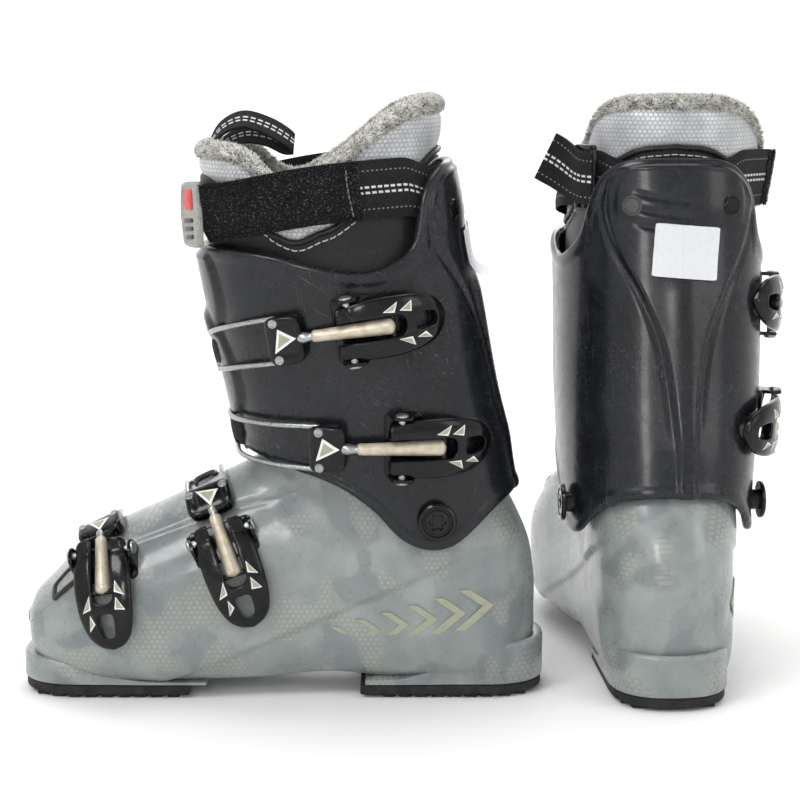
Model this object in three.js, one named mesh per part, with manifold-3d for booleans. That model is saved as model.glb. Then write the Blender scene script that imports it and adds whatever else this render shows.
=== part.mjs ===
// A pair of four-buckle alpine ski boots, in millimetres, +Z up.
// Each boot is made in its own frame: +X to the toe, +Y to the outer side, origin under the back of the heel.
// The left boot stands side-on and the right boot stands heel-on, so the pair shows its side and its back.
import * as THREE from "three";
import { mergeVertices } from "three/addons/utils/BufferGeometryUtils.js";
import Module from "manifold-3d";

// ---- driving dimensions ----
const SOLE_LENGTH = 305;
const SOLE_HALF_WIDTH = 34.5;
const SOLE_THICKNESS = 8;
const TOE_LUG_TOP = 24;
const HEEL_LUG_TOP = 33;
const SHELL_WALL = 4.5;
const CUFF_WALL = 4.5;
const LINER_WALL = 8;
const BOARD_TOP = 21;
const GAP = 0.4;
const PIVOT = { x: 63, z: 110 };
const STRAP_WIDTH = 34;
const STRAP_SLACK = 6;
const LINER_FLARE = 9;

// Where the boots stand: the back of each heel and the way its toe points, about the pair's centre.
const LEFT_PLACE = { heel: [84, 0], turn: Math.PI };
const RIGHT_PLACE = { heel: [157, -62], turn: Math.PI / 2 + 0.06 };

const { abs, cos, sin, sign, PI, max, min } = Math;

// ---- solids ----
const wasm = await Module();
wasm.setup();

function toSolid(geometry) {
  const bare = geometry.clone();
  bare.deleteAttribute("normal");
  bare.deleteAttribute("uv");
  const merged = mergeVertices(bare, 1e-4);
  return new wasm.Manifold(
    new wasm.Mesh({
      numProp: 3,
      vertProperties: new Float32Array(merged.attributes.position.array),
      triVerts: new Uint32Array(merged.index.array),
    }),
  );
}

function fromSolid(solid) {
  const mesh = solid.getMesh();
  const geometry = new THREE.BufferGeometry();
  geometry.setAttribute("position", new THREE.BufferAttribute(mesh.vertProperties, 3));
  geometry.setIndex(new THREE.BufferAttribute(mesh.triVerts, 1));
  geometry.computeVertexNormals();
  return geometry;
}

const join = (...geometries) => fromSolid(geometries.map(toSolid).reduce((a, b) => a.add(b)));
const cut = (body, ...tools) => fromSolid(tools.map(toSolid).reduce((a, b) => a.subtract(b), toSolid(body)));
const overlap = (a, b) => fromSolid(toSolid(a).intersect(toSolid(b)));

// ---- lofts ----

// A row of the table between its rows, on a smooth curve through them; u counts rows.
function rowAt(table, u) {
  const last = table.length - 1;
  const i = min(last - 1, max(0, Math.floor(u)));
  const t = u - i;
  const [a, b, c, d] = [max(0, i - 1), i, i + 1, min(last, i + 2)].map((k) => table[k]);
  return b.map((_, k) => {
    const slopeIn = (c[k] - a[k]) / 2;
    const slopeOut = (d[k] - b[k]) / 2;
    const s = t * t * (3 - 2 * t);
    return b[k] * (1 - s) + c[k] * s + slopeIn * t * (1 - t) * (1 - t) - slopeOut * t * t * (1 - t);
  });
}

// A section of a boot: a superellipse between a back (or sole) point and a front (or instep) point.
// Angle 0 is at the front point, PI/2 on the outer side and PI at the back point.
function sectionPoint([backX, backZ, frontX, frontZ, halfWidth, shift, backPower, frontPower], angle, inset) {
  const c = cos(angle);
  const s = sin(angle);
  const power = c < 0 ? backPower : frontPower;
  const along = sign(c) * abs(c) ** (2 / power);
  const across = sign(s) * abs(s) ** (2 / power);
  const half = new THREE.Vector2(frontX - backX, frontZ - backZ).multiplyScalar(0.5);
  half.setLength(max(0.5, half.length() - inset));
  return new THREE.Vector3(
    (frontX + backX) / 2 + half.x * along,
    shift + max(0.5, halfWidth - inset) * across,
    (frontZ + backZ) / 2 + half.y * along,
  );
}

function loft(rings) {
  const count = rings[0].length;
  const points = rings.flat();
  const faces = [];
  for (let r = 0; r + 1 < rings.length; r += 1) {
    for (let k = 0; k < count; k += 1) {
      const a = r * count + k;
      const b = r * count + ((k + 1) % count);
      faces.push(a, b, a + count, b, b + count, a + count);
    }
  }
  for (const [ring, start, flip] of [
    [rings[0], 0, true],
    [rings.at(-1), (rings.length - 1) * count, false],
  ]) {
    const centre = ring.reduce((sum, p) => sum.add(p), new THREE.Vector3()).divideScalar(count);
    points.push(centre);
    for (let k = 0; k < count; k += 1) {
      const [a, b] = [start + k, start + ((k + 1) % count)];
      faces.push(...(flip ? [b, a] : [a, b]), points.length - 1);
    }
  }
  const geometry = new THREE.BufferGeometry().setFromPoints(points);
  geometry.setIndex(faces);
  return outwards(geometry);
}

// Turns a closed geometry's faces outwards, by the sign of its volume.
function outwards(geometry) {
  const p = geometry.attributes.position;
  const index = geometry.index.array;
  const [a, b, c] = [new THREE.Vector3(), new THREE.Vector3(), new THREE.Vector3()];
  let volume = 0;
  for (let i = 0; i < index.length; i += 3) {
    a.fromBufferAttribute(p, index[i]);
    b.fromBufferAttribute(p, index[i + 1]);
    c.fromBufferAttribute(p, index[i + 2]);
    volume += a.dot(b.cross(c));
  }
  if (volume < 0) {
    for (let i = 0; i < index.length; i += 3) [index[i + 1], index[i + 2]] = [index[i + 2], index[i + 1]];
  }
  return geometry;
}

// ---- the lower shell's surface: sections fan round from the toe, over the heel, to the ankle ----
// back x, back z, front x, front z, half width, sideways shift, power at the sole, power at the instep
const SHELL_SECTIONS = [
  [300.5, 36, 301.5, 46, 12, -3, 2.2, 2.2],
  [298.5, 24, 297.5, 56, 26, -3, 2.4, 2.2],
  [291, 15, 288, 66, 36, -3.5, 2.6, 2.1],
  [276, 9.5, 271, 83, 44, -4, 2.8, 2.1],
  [252, 8.8, 250, 95, 49, -5, 3, 2.1],
  [225, 8.8, 225, 106, 51, -6, 3, 2.1],
  [195, 8.8, 202, 117, 49.5, -5, 3, 2.1],
  [160, 10, 186, 125.5, 45.5, -3.5, 3, 2.1],
  [125, 13, 177, 130, 42.5, -2, 3, 2.1],
  [90, 10, 169, 134.5, 41, -1, 3, 2.1],
  [50, 9, 163, 139, 41, 0, 3, 2.2],
  [14, 10, 160, 144, 41.5, 0, 2.8, 2.2],
  [6, 30, 159.5, 148, 42, 0, 2.5, 2.2],
  [6, 60, 160, 152, 43, 0, 2.4, 2.2],
  [8, 85, 161, 156, 44, 0, 2.3, 2.2],
  [16, 106, 162.5, 160, 45, 0, 2.3, 2.2],
  [27, 127, 164, 163, 45.5, 0, 2.3, 2.2],
  [36, 147, 165.5, 166, 45, 0, 2.3, 2.2],
];
const SHELL_TOP = SHELL_SECTIONS.length - 1;

// The toe is drawn back with the inset too, so that the wall is as thick at the tip as at the sides.
function shellPoint(u, angle, inset = 0) {
  const point = sectionPoint(rowAt(SHELL_SECTIONS, u), angle, inset);
  point.x -= (inset * point.x) / SOLE_LENGTH;
  return point;
}

// ---- the cuff's surface: level sections, leaning forward ----
// back x, z, front x, z, half width, sideways shift, power at the back, power at the front
const CUFF_SECTIONS = [
  [9, 88, 165, 88, 54, 0, 2.4, 2.4],
  [15, 115, 169, 115, 56, 0, 2.4, 2.4],
  [22, 146, 174, 146, 58, 1, 2.4, 2.4],
  [31, 181, 181.5, 181, 60, 2, 2.4, 2.4],
  [39.5, 228, 191.5, 228, 60.5, 3, 2.4, 2.4],
  [46, 258, 197, 258, 61, 3.5, 2.4, 2.4],
  [50, 285, 200, 285, 61, 4, 2.4, 2.4],
  [54.5, 307, 203, 307, 60, 4, 2.4, 2.4],
  [58, 325, 205, 325, 58, 4, 2.4, 2.4],
];
const CUFF_TOP = CUFF_SECTIONS.length - 1;
const cuffPoint = (u, angle, inset = 0) => sectionPoint(rowAt(CUFF_SECTIONS, u), angle, inset);

// The row of a table of level sections that stands at height z.
function rowAtHeight(table, z) {
  let low = 0;
  let high = table.length - 1;
  while (high - low > 1e-3) {
    const middle = (low + high) / 2;
    if (rowAt(table, middle)[1] < z) low = middle;
    else high = middle;
  }
  return low;
}

function surfaceLoft(pointAt, from, to, steps, count, inset) {
  return loft(
    Array.from({ length: steps + 1 }, (_, r) =>
      Array.from({ length: count }, (_, k) =>
        pointAt(from + ((to - from) * r) / steps, (2 * PI * k) / count, inset),
      ),
    ),
  );
}

// ---- plain tools ----

// A prism through the boot, square to its length: its outline is in x and z.
function sideCutter(outline, halfDepth = 90) {
  const shape = new THREE.Shape(outline.map(([x, z]) => new THREE.Vector2(x, z)));
  const geometry = new THREE.ExtrudeGeometry(shape, { depth: 2 * halfDepth, bevelEnabled: false });
  return geometry.rotateX(PI / 2).translate(0, halfDepth, 0);
}

function slab(x0, x1, y0, y1, z0, z1) {
  const box = new THREE.BoxGeometry(x1 - x0, y1 - y0, z1 - z0);
  return box.translate((x0 + x1) / 2, (y0 + y1) / 2, (z0 + z1) / 2);
}

// A cylinder along y, from one y to another.
function crossCylinder(radius, y0, y1, x, z, sides = 16) {
  return new THREE.CylinderGeometry(radius, radius, y1 - y0, sides).translate(x, (y0 + y1) / 2, z);
}

// A plate seen from above with one end round: its straight end at x0, its round end at x1.
function roundEndedPlate(x0, x1, halfWidth, z0, z1) {
  const way = sign(x1 - x0);
  const reach = 38;
  const power = 2 / 2.4;
  const shape = new THREE.Shape([new THREE.Vector2(x0, -halfWidth)]);
  for (let k = 0; k <= 12; k += 1) {
    const angle = -PI / 2 + (PI * k) / 12;
    const along = reach * abs(cos(angle)) ** power;
    shape.lineTo(x1 - way * (reach - along), halfWidth * sign(sin(angle)) * abs(sin(angle)) ** power);
  }
  shape.lineTo(x0, halfWidth);
  return new THREE.ExtrudeGeometry(shape, { depth: z1 - z0, bevelEnabled: false }).translate(0, 0, z0);
}

// A tube with a round section along a curve.
function tube(curve, radius, steps, sides = 8) {
  const section = new THREE.Shape();
  for (let k = 0; k < sides; k += 1) {
    const [x, y] = [radius * cos((2 * PI * k) / sides), radius * sin((2 * PI * k) / sides)];
    if (k === 0) section.moveTo(x, y);
    else section.lineTo(x, y);
  }
  return new THREE.ExtrudeGeometry(section, { steps, extrudePath: curve, bevelEnabled: false });
}

// ---- materials ----
const plastic = (color, roughness) => new THREE.MeshStandardMaterial({ color, roughness, metalness: 0 });
const MATERIALS = {
  clearShell: plastic(0x8d9c98, 0.35),
  darkShell: plastic(0x24262b, 0.35),
  gloss: plastic(0x08080a, 0.12),
  rubber: plastic(0x131414, 0.8),
  steel: new THREE.MeshStandardMaterial({ color: 0xb9bcbc, roughness: 0.3, metalness: 1 }),
  sleeve: plastic(0xb3a88f, 0.35),
  liner: plastic(0x9a9a98, 0.8),
  webbing: plastic(0x17171a, 0.95),
  board: plastic(0x3a3c40, 0.6),
};

// ---- the shell group ----
const SHELL_STEPS = 21;
const SHELL_SIDES = 18;

function shellOuter(inset = 0) {
  return surfaceLoft(shellPoint, 0, SHELL_TOP, SHELL_STEPS, SHELL_SIDES, inset);
}

// The same surface run on past the ankle, as a tool that opens the top.
function shellInner(inset, steps = SHELL_STEPS) {
  return surfaceLoft(shellPoint, 0, SHELL_TOP + 0.4, steps, SHELL_SIDES, inset);
}

function lowerShell() {
  const bottom = SOLE_THICKNESS + GAP;
  const lugs = [
    roundEndedPlate(204, SOLE_LENGTH, SOLE_HALF_WIDTH + 0.5, bottom, TOE_LUG_TOP),
    roundEndedPlate(98, 0, SOLE_HALF_WIDTH, bottom, HEEL_LUG_TOP),
  ];
  const bosses = [-1, 1].map((side) =>
    crossCylinder(10.5, min(side * 36, side * 45.6), max(side * 36, side * 45.6), PIVOT.x, PIVOT.z),
  );
  const pins = crossCylinder(6.4, -60, 60, PIVOT.x, PIVOT.z, 12);
  return cut(join(shellOuter(), ...lugs, ...bosses), shellInner(SHELL_WALL), pins);
}

function bootBoard() {
  return overlap(shellInner(SHELL_WALL + 0.8), slab(12, 288, -60, 60, 0, BOARD_TOP));
}

function linerFoot() {
  const below = slab(-20, 320, -80, 80, -20, BOARD_TOP + GAP);
  const foot = surfaceLoft(shellPoint, 0, SHELL_TOP + 0.6, 12, 12, SHELL_WALL + 1 + LINER_WALL);
  const insole = slab(-20, 320, -80, 80, -20, BOARD_TOP + 6);
  const above = sideCutter([
    [0, 144],
    [30, 144],
    [166, 163],
    [240, 163],
    [240, 240],
    [0, 240],
  ]);
  return cut(shellInner(SHELL_WALL + 0.8), below, above, cut(foot, insole));
}

const toeSole = () => roundEndedPlate(206, SOLE_LENGTH - 1, SOLE_HALF_WIDTH - 0.5, 0, SOLE_THICKNESS);

function heelSole() {
  const slope = sideCutter([
    [91, -1],
    [120, -1],
    [120, 20],
    [104, 20],
  ]);
  return cut(roundEndedPlate(110, 1, SOLE_HALF_WIDTH - 1, 0, SOLE_THICKNESS), slope);
}

// A pivot: a wide head outside the cuff and a shank through the cuff and the shell's boss.
function cuffPivot(side) {
  const [inner, face, outer] = [39.5, 57.2, 60.2].map((y) => side * y);
  return join(
    crossCylinder(6, min(inner, outer), max(inner, outer), PIVOT.x, PIVOT.z, 12),
    crossCylinder(11, min(face, outer), max(face, outer), PIVOT.x, PIVOT.z, 20),
  );
}

// ---- the cuff group ----
const CUFF_STEPS = 10;
const CUFF_SIDES = 26;
const CUFF_TOP_EDGE = [
  [240, 262],
  [176, 262],
  [156, 260],
  [134, 255],
  [112, 251],
  [96, 252],
  [81, 259],
  [73, 268],
  [70, 287],
  [66, 300],
  [58, 309],
  [30, 311],
];
const CUFF_BOTTOM_EDGE = [
  [240, 146],
  [174, 146],
  [154, 141],
  [121, 131],
  [97, 115],
  [84, 101],
  [75, 95],
  [64, 92.5],
  [54, 94.5],
  [46, 100],
  [38, 107],
  [28, 115],
  [15, 121],
  [-20, 123],
];

const cuffOuter = (inset) => surfaceLoft(cuffPoint, 0, CUFF_TOP, CUFF_STEPS, CUFF_SIDES, inset);

function cuff() {
  const inner = surfaceLoft(cuffPoint, -0.3, CUFF_TOP + 0.3, 7, CUFF_SIDES, CUFF_WALL);
  const above = sideCutter([...CUFF_TOP_EDGE, [30, 360], [240, 360]]);
  const below = sideCutter([...CUFF_BOTTOM_EDGE, [-20, 60], [240, 60]]);
  const pins = crossCylinder(6.4, -70, 70, PIVOT.x, PIVOT.z, 12);
  return cut(cuffOuter(0), inner, above, below, pins);
}

// The liner's leg: level sections inside the cuff, wider where it stands above the cuff's low sides.
const LINER_SECTIONS = [
  [32, 150, 166.5, 150, 51, 1, 2.4, 2.4],
  [37, 181, 175, 181, 53, 2, 2.4, 2.4],
  [46, 228, 185, 228, 54, 3, 2.4, 2.4],
  [54, 256, 189, 256, 53, 3.5, 2.4, 2.4],
  [58.5, 280, 196, 280, 52.5, 4, 2.4, 2.4],
  [63, 305, 197.5, 305, 52.5, 4, 2.3, 2.3],
  [61.5, 330, 195, 330, 52.5, 4, 2.3, 2.3],
  [62, 348, 190, 348, 48, 4, 2.3, 2.3],
];
const LINER_TOP = LINER_SECTIONS.length - 1;
const LINER_TOP_EDGE = [
  [40, 345],
  [66, 345],
  [81, 341],
  [93, 334],
  [111, 320],
  [131, 307],
  [146, 301],
  [158, 305],
  [170, 316],
  [183, 320],
  [230, 317],
];

// Above the cuff's low sides, the collar flares towards the outer side.
function linerPoint(u, angle, inset = 0) {
  const point = sectionPoint(rowAt(LINER_SECTIONS, u), angle, inset);
  const rise = THREE.MathUtils.smoothstep(point.z, 255, 325);
  point.y += LINER_FLARE * rise * THREE.MathUtils.smoothstep(point.x, 66, 125);
  return point;
}

function linerLeg() {
  const outer = surfaceLoft(linerPoint, 0, LINER_TOP, 9, 22, 0);
  const inner = surfaceLoft(linerPoint, -0.3, LINER_TOP + 0.3, 6, 16, LINER_WALL + 1);
  const above = sideCutter([...LINER_TOP_EDGE, [230, 380], [40, 380]]);
  const below = sideCutter([
    [0, 140],
    [0, 152],
    [30, 156],
    [165, 179],
    [240, 191],
    [240, 140],
  ]);
  return cut(outer, inner, above, below);
}

// The power strap: a band round the liner, inside the cuff's high back and over its front edge.
function powerStrap() {
  const thickness = 2.4;
  const near = -0.7;
  const heightAt = (x) => 279 + 0.13 * (205 - x);
  const ringAt = (inset, lift) =>
    Array.from({ length: 38 }, (_, k) => {
      const angle = (2 * PI * k) / 38;
      const z = heightAt(linerPoint(4.4, angle, 0).x) + lift;
      const point = linerPoint(rowAtHeight(LINER_SECTIONS, z), angle, inset);
      const standOff = STRAP_SLACK * THREE.MathUtils.smoothstep(point.x, 84, 120);
      return new THREE.Vector3(point.x, point.y + standOff * sin(angle), z);
    });
  const half = STRAP_WIDTH / 2;
  const rings = [
    ringAt(near, -half),
    ringAt(near - thickness, -half),
    ringAt(near - thickness, 0),
    ringAt(near - thickness, half),
    ringAt(near, half),
    ringAt(near, 0),
  ];
  const count = rings[0].length;
  const faces = [];
  for (let r = 0; r < rings.length; r += 1) {
    const next = (r + 1) % rings.length;
    for (let k = 0; k < count; k += 1) {
      const [a, b] = [r * count + k, r * count + ((k + 1) % count)];
      const [c, d] = [next * count + k, next * count + ((k + 1) % count)];
      faces.push(a, b, c, b, d, c);
    }
  }
  const geometry = new THREE.BufferGeometry().setFromPoints(rings.flat());
  geometry.setIndex(faces);
  return outwards(geometry);
}

// ---- buckles ----
// A buckle's parts lie along a line round its surface. Angles are in degrees round the section:
// rack is the bail's hooked end, yoke the black block, pivot the lever's pin and tail the lever's end.
const BUCKLES = [
  {
    name: "toe", on: "shell", point: shellPoint,
    u: 3.95, slope: 0.14, rack: -26, yoke: 22, pivot: 47, tail: 108,
  },
  {
    name: "instep", on: "shell", point: shellPoint,
    u: 6.7, slope: 0.2, rack: -22, yoke: 36, pivot: 60, tail: 118,
  },
  {
    name: "ankle", on: "cuff", point: cuffPoint,
    u: 2.25, slope: -0.01, rack: 2, yoke: 76, pivot: 99, tail: 151,
  },
  {
    name: "shin", on: "cuff", point: cuffPoint,
    u: 3.8, slope: 0.13, rack: 2, yoke: 69, pivot: 91, tail: 145,
  },
];
const LEVER = { length: 56, front: 6, halfWidth: 16.5, thickness: 6, slot: 6.2, bulge: 6.5, link: 23 };
const PIN_HEIGHT = 9.5;
const TAIL_HEIGHT = 9.5;
const WIRE = 1.5;
const BLOCK = { length: 17, width: 17, thickness: 7, height: 7.5, eye: -4 };
const BAIL_HALF_WIDTH = 12.6;
const RACK_HALF_WIDTH = 7;
const BOW_HEIGHT = 5.2;
const OPEN_RATIO = -1.2;
const degrees = PI / 180;

// A point over a buckle's surface with the outward normal and the ways along and across the buckle.
function stand(buckle, angle, height) {
  const at = (a) => buckle.point(buckle.u + buckle.slope * ((a - buckle.pivot) / 30), a * degrees, 0);
  const step = 1.5;
  const point = at(angle);
  const along = at(angle + step).sub(at(angle - step)).normalize();
  const row = buckle.u + buckle.slope * ((angle - buckle.pivot) / 30);
  const uUp = buckle.point(row + 0.05, angle * degrees, 0);
  const normal = new THREE.Vector3().crossVectors(along, uUp.sub(point)).normalize();
  const onShell = buckle.on === "shell";
  const centre = new THREE.Vector3(onShell ? point.x - 10 : 115, 0, onShell ? 55 : point.z);
  if (normal.dot(point.clone().sub(centre)) < 0) normal.negate();
  const across = new THREE.Vector3().crossVectors(normal, along).normalize();
  return { point: point.addScaledVector(normal, height), normal, along, across };
}

// The frame of a buckle's base: over the surface's normal, but square to the lever's pin.
function baseFrame(buckle, pin) {
  const { normal } = stand(buckle, buckle.pivot, 0);
  const upright = normal.addScaledVector(pin.across, -normal.dot(pin.across)).normalize();
  const along = new THREE.Vector3().crossVectors(pin.across, upright).normalize();
  return { point: pin.point, along, across: pin.across, normal: upright };
}

// The matrix of a frame whose x runs along, y across and z out from the surface.
function frameOf({ point, along, across, normal }) {
  return new THREE.Matrix4().makeBasis(along, across, normal).setPosition(point);
}

// The lever's frame is at its pin, with x along the line from the pin to the lever's end.
function leverFrame(buckle) {
  const pin = stand(buckle, buckle.pivot, PIN_HEIGHT);
  const end = stand(buckle, buckle.tail, TAIL_HEIGHT).point;
  const along = end.sub(pin.point).normalize();
  const normal = new THREE.Vector3().crossVectors(along, pin.across).normalize();
  const across = new THREE.Vector3().crossVectors(normal, along).normalize();
  return { point: pin.point, along, across, normal };
}

const leverRise = (x) => max(0, (4 * LEVER.bulge * x * (LEVER.length - x)) / LEVER.length ** 2);

// Bends a flat geometry lengthwise, so that it follows the lever's curve.
function bend(geometry) {
  const p = geometry.attributes.position;
  for (let i = 0; i < p.count; i += 1) p.setZ(i, p.getZ(i) + leverRise(p.getX(i)));
  return geometry;
}

// The lever: two arms that straddle the link, joined by a cross pin and a broad round tail.
function lever() {
  const { length, front, halfWidth, thickness, slot, link } = LEVER;
  const outline = new THREE.Shape();
  const side = [
    [-front, 0.84],
    [-front + 3, 0.97],
    [12, 1.02],
    [28, 1],
    [40, 0.92],
    [49, 0.7],
    [54, 0.38],
    [length, 0],
  ].map(([x, share]) => [x, share * halfWidth]);
  const slotEnd = link + 6;
  const slotSide = [
    [-front, slot],
    [12, slot * 1.04],
    [slotEnd - 3, slot * 0.8],
    [slotEnd, 0],
  ];
  const around = [
    ...side,
    ...side.slice(0, -1).reverse().map(([x, y]) => [x, -y]),
    ...slotSide.map(([x, y]) => [x, -y]),
    ...slotSide.slice(0, -1).reverse(),
  ];
  around.forEach(([x, y], i) => (i ? outline.lineTo(x, y) : outline.moveTo(x, y)));
  const plate = bend(
    new THREE.ExtrudeGeometry(outline, { depth: thickness, bevelEnabled: false })
      .translate(0, 0, -thickness / 2),
  );
  const crossPin = new THREE.CylinderGeometry(1.5, 1.5, 2 * slot + 4, 8).translate(link, 0, leverRise(link));
  const pinHoles = new THREE.CylinderGeometry(2.4, 2.4, 60, 10);
  return join(cut(plate, pinHoles), crossPin);
}

// The base: a foot on the surface, with two ears outside the lever's arms and a stub pin on each.
function leverBase(toSurface, body) {
  const outer = LEVER.halfWidth + 2.4;
  const ears = [-1, 1].map((side) =>
    join(
      slab(-6, 7, min(side * outer, side * (outer - 1.8)), max(side * outer, side * (outer - 1.8)), -16, 4),
      new THREE.CylinderGeometry(2, 2, 9, 10).translate(0, side * (outer - 4.5), 0),
    ),
  );
  const foot = slab(-6, 10, -outer, outer, -16, -PIN_HEIGHT + 0.6);
  const bracket = join(foot, ...ears).applyMatrix4(toSurface);
  return cut(bracket, body);
}

// The link: an adjuster rod from the lever's cross pin, screwed into a block with the bail's two eyes.
function link(buckle, from, towards) {
  const at = stand(buckle, buckle.yoke, BLOCK.height);
  const middle = stand(buckle, 0.5 * (buckle.pivot + buckle.yoke), BLOCK.height + 1).point;
  const start = from.clone().addScaledVector(towards, 2.2);
  const rod = tube(new THREE.CatmullRomCurve3([start, middle, at.point]), 2.9, 5, 8);
  const body = new THREE.BoxGeometry(BLOCK.length, BLOCK.width, BLOCK.thickness);
  const eyes = new THREE.CylinderGeometry(2.3, 2.3, 40, 10).translate(BLOCK.eye, 0, 0);
  const shank = new THREE.BoxGeometry(BLOCK.length, 8, BLOCK.thickness);
  const block = join(cut(body, eyes), shank).applyMatrix4(frameOf(at));
  return join(block, rod);
}

// The bail: a wire loop from the block's two eyes, round to the rack.
function bail(buckle) {
  const at = stand(buckle, buckle.yoke, BLOCK.height);
  const eye = at.point.clone().addScaledVector(at.along, BLOCK.eye);
  const heights = [6.6, 6, 5.4, 5, 4.6];
  const rail = (side) => {
    const inner = eye.clone().addScaledVector(at.across, side * 5);
    const corner = eye.clone().addScaledVector(at.across, side * (BAIL_HALF_WIDTH - 0.5));
    const run = heights.map((height, k) => {
      const share = (k + 0.45) / (heights.length - 0.55);
      const over = stand(buckle, buckle.yoke + (buckle.rack - buckle.yoke) * share, height);
      return over.point.addScaledVector(over.across, side * (BAIL_HALF_WIDTH - 2 * share));
    });
    return [inner, corner, ...run];
  };
  const end = stand(buckle, buckle.rack - 4, BOW_HEIGHT);
  const bowReach = BAIL_HALF_WIDTH - 3.6;
  const bow = [1, 0, -1].map((side) => end.point.clone().addScaledVector(end.across, side * bowReach));
  const route = [...rail(1), ...bow, ...rail(-1).reverse()];
  return tube(new THREE.CatmullRomCurve3(route, false, "centripetal"), WIRE, 28, 5);
}

// The rack: a toothed ladder, with the bail's bow in one of its notches.
function rack(buckle, body) {
  const at = stand(buckle, buckle.rack - 4, 0);
  const [root, tip, pitch] = [2.4, 4.2, 6];
  const [front, back] = [-13, 17];
  const profile = new THREE.Shape([new THREE.Vector2(front, root), new THREE.Vector2(front, -9)]);
  profile.lineTo(back, -9);
  profile.lineTo(back, root);
  for (let face = 2 + pitch; face > front; face -= pitch) {
    profile.lineTo(face + pitch - 0.6, root);
    profile.lineTo(face, tip);
    profile.lineTo(face - 0.1, root);
  }
  const geometry = new THREE.ExtrudeGeometry(profile, { depth: 2 * RACK_HALF_WIDTH, bevelEnabled: false });
  geometry.rotateX(PI / 2).translate(0, RACK_HALF_WIDTH, 0);
  return cut(geometry.applyMatrix4(frameOf(at)), body);
}

// ---- assembly ----
function boot(side) {
  const group = new THREE.Group();
  const add = (parent, name, geometry, material) => {
    const mesh = new THREE.Mesh(geometry, material);
    mesh.name = `${side}_${name}`;
    parent.add(mesh);
    return mesh;
  };
  const bodies = { shell: group, cuff: new THREE.Group() };
  group.add(bodies.cuff);
  bodies.cuff.userData.joint = {
    name: `${side}_cuff_flex`,
    parent: "boots",
    child: `${side}_cuff`,
    at: new THREE.Vector3(PIVOT.x, 0, PIVOT.z),
    axis: new THREE.Vector3(0, 1, 0),
  };

  add(group, "lower_shell", lowerShell(), MATERIALS.clearShell);
  add(group, "boot_board", bootBoard(), MATERIALS.board);
  add(group, "liner_foot", linerFoot(), MATERIALS.liner);
  add(group, "toe_sole", toeSole(), MATERIALS.rubber);
  add(group, "heel_sole", heelSole(), MATERIALS.rubber);
  add(group, "outer_pivot", cuffPivot(1), MATERIALS.gloss);
  add(group, "inner_pivot", cuffPivot(-1), MATERIALS.gloss);
  add(bodies.cuff, "cuff", cuff(), MATERIALS.darkShell);
  add(bodies.cuff, "liner_leg", linerLeg(), MATERIALS.liner);
  add(bodies.cuff, "power_strap", powerStrap(), MATERIALS.webbing);

  const clearOf = {
    shell: shellOuter(-GAP),
    cuff: cuffOuter(-GAP),
  };
  for (const buckle of BUCKLES) {
    const holder = bodies[buckle.on];
    const holderBody = buckle.on === "shell" ? "boots" : `${side}_cuff`;
    const label = `${buckle.name}_buckle`;
    const pin = leverFrame(buckle);
    const toPin = frameOf(pin);
    const footFrame = frameOf(baseFrame(buckle, pin));

    add(holder, `${label}_base`, leverBase(footFrame, clearOf[buckle.on]), MATERIALS.gloss);
    add(holder, `${label}_rack`, rack(buckle, clearOf[buckle.on]), MATERIALS.gloss);

    const leverGroup = new THREE.Group();
    holder.add(leverGroup);
    leverGroup.userData.joint = {
      name: `${side}_${label}_open`,
      parent: holderBody,
      child: `${side}_${label}_lever`,
      at: pin.point.clone(),
      axis: pin.across.clone().negate(),
    };
    add(leverGroup, `${label}_lever`, lever().applyMatrix4(toPin), MATERIALS.gloss);

    const linkPoint = new THREE.Vector3(LEVER.link, 0, leverRise(LEVER.link)).applyMatrix4(toPin);
    const block = stand(buckle, buckle.yoke, BLOCK.height);
    const linkGroup = new THREE.Group();
    leverGroup.add(linkGroup);
    linkGroup.userData.joint = {
      name: `${side}_${label}_link`,
      parent: `${side}_${label}_lever`,
      child: `${side}_${label}_link`,
      at: linkPoint.clone(),
      axis: pin.across.clone().negate(),
      follows: `${side}_${label}_open`,
      ratio: OPEN_RATIO,
    };
    const towards = block.point.clone().sub(linkPoint).normalize();
    add(linkGroup, `${label}_link`, link(buckle, linkPoint, towards), MATERIALS.sleeve);

    const bailGroup = new THREE.Group();
    linkGroup.add(bailGroup);
    bailGroup.userData.joint = {
      name: `${side}_${label}_bail`,
      parent: `${side}_${label}_link`,
      child: `${side}_${label}_bail`,
      at: block.point.clone().addScaledVector(block.along, BLOCK.eye),
      axis: block.across.clone(),
    };
    add(bailGroup, `${label}_bail`, bail(buckle), MATERIALS.steel);
  }
  return group;
}

function place(group, { heel, turn }) {
  const placed = new THREE.Group();
  placed.add(group);
  placed.rotation.z = turn;
  placed.position.set(heel[0], heel[1], 0);
  return placed;
}

const left = place(boot("left"), LEFT_PLACE);
const rightMirrored = boot("right");
rightMirrored.scale.y = -1;
const right = place(rightMirrored, RIGHT_PLACE);

// The origin is on the floor, under the middle of the pair's box.
const pair = new THREE.Group();
pair.name = "ski_boots";
const stage = new THREE.Group();
stage.add(left, right);
stage.updateMatrixWorld(true);
const middle = new THREE.Box3().setFromObject(stage, true).getCenter(new THREE.Vector3());
stage.position.set(-middle.x, -middle.y, 0);
pair.add(stage);

export default pair;
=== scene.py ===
import math

import bmesh
import bpy
import numpy as np
from mathutils import Matrix, Vector


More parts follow.
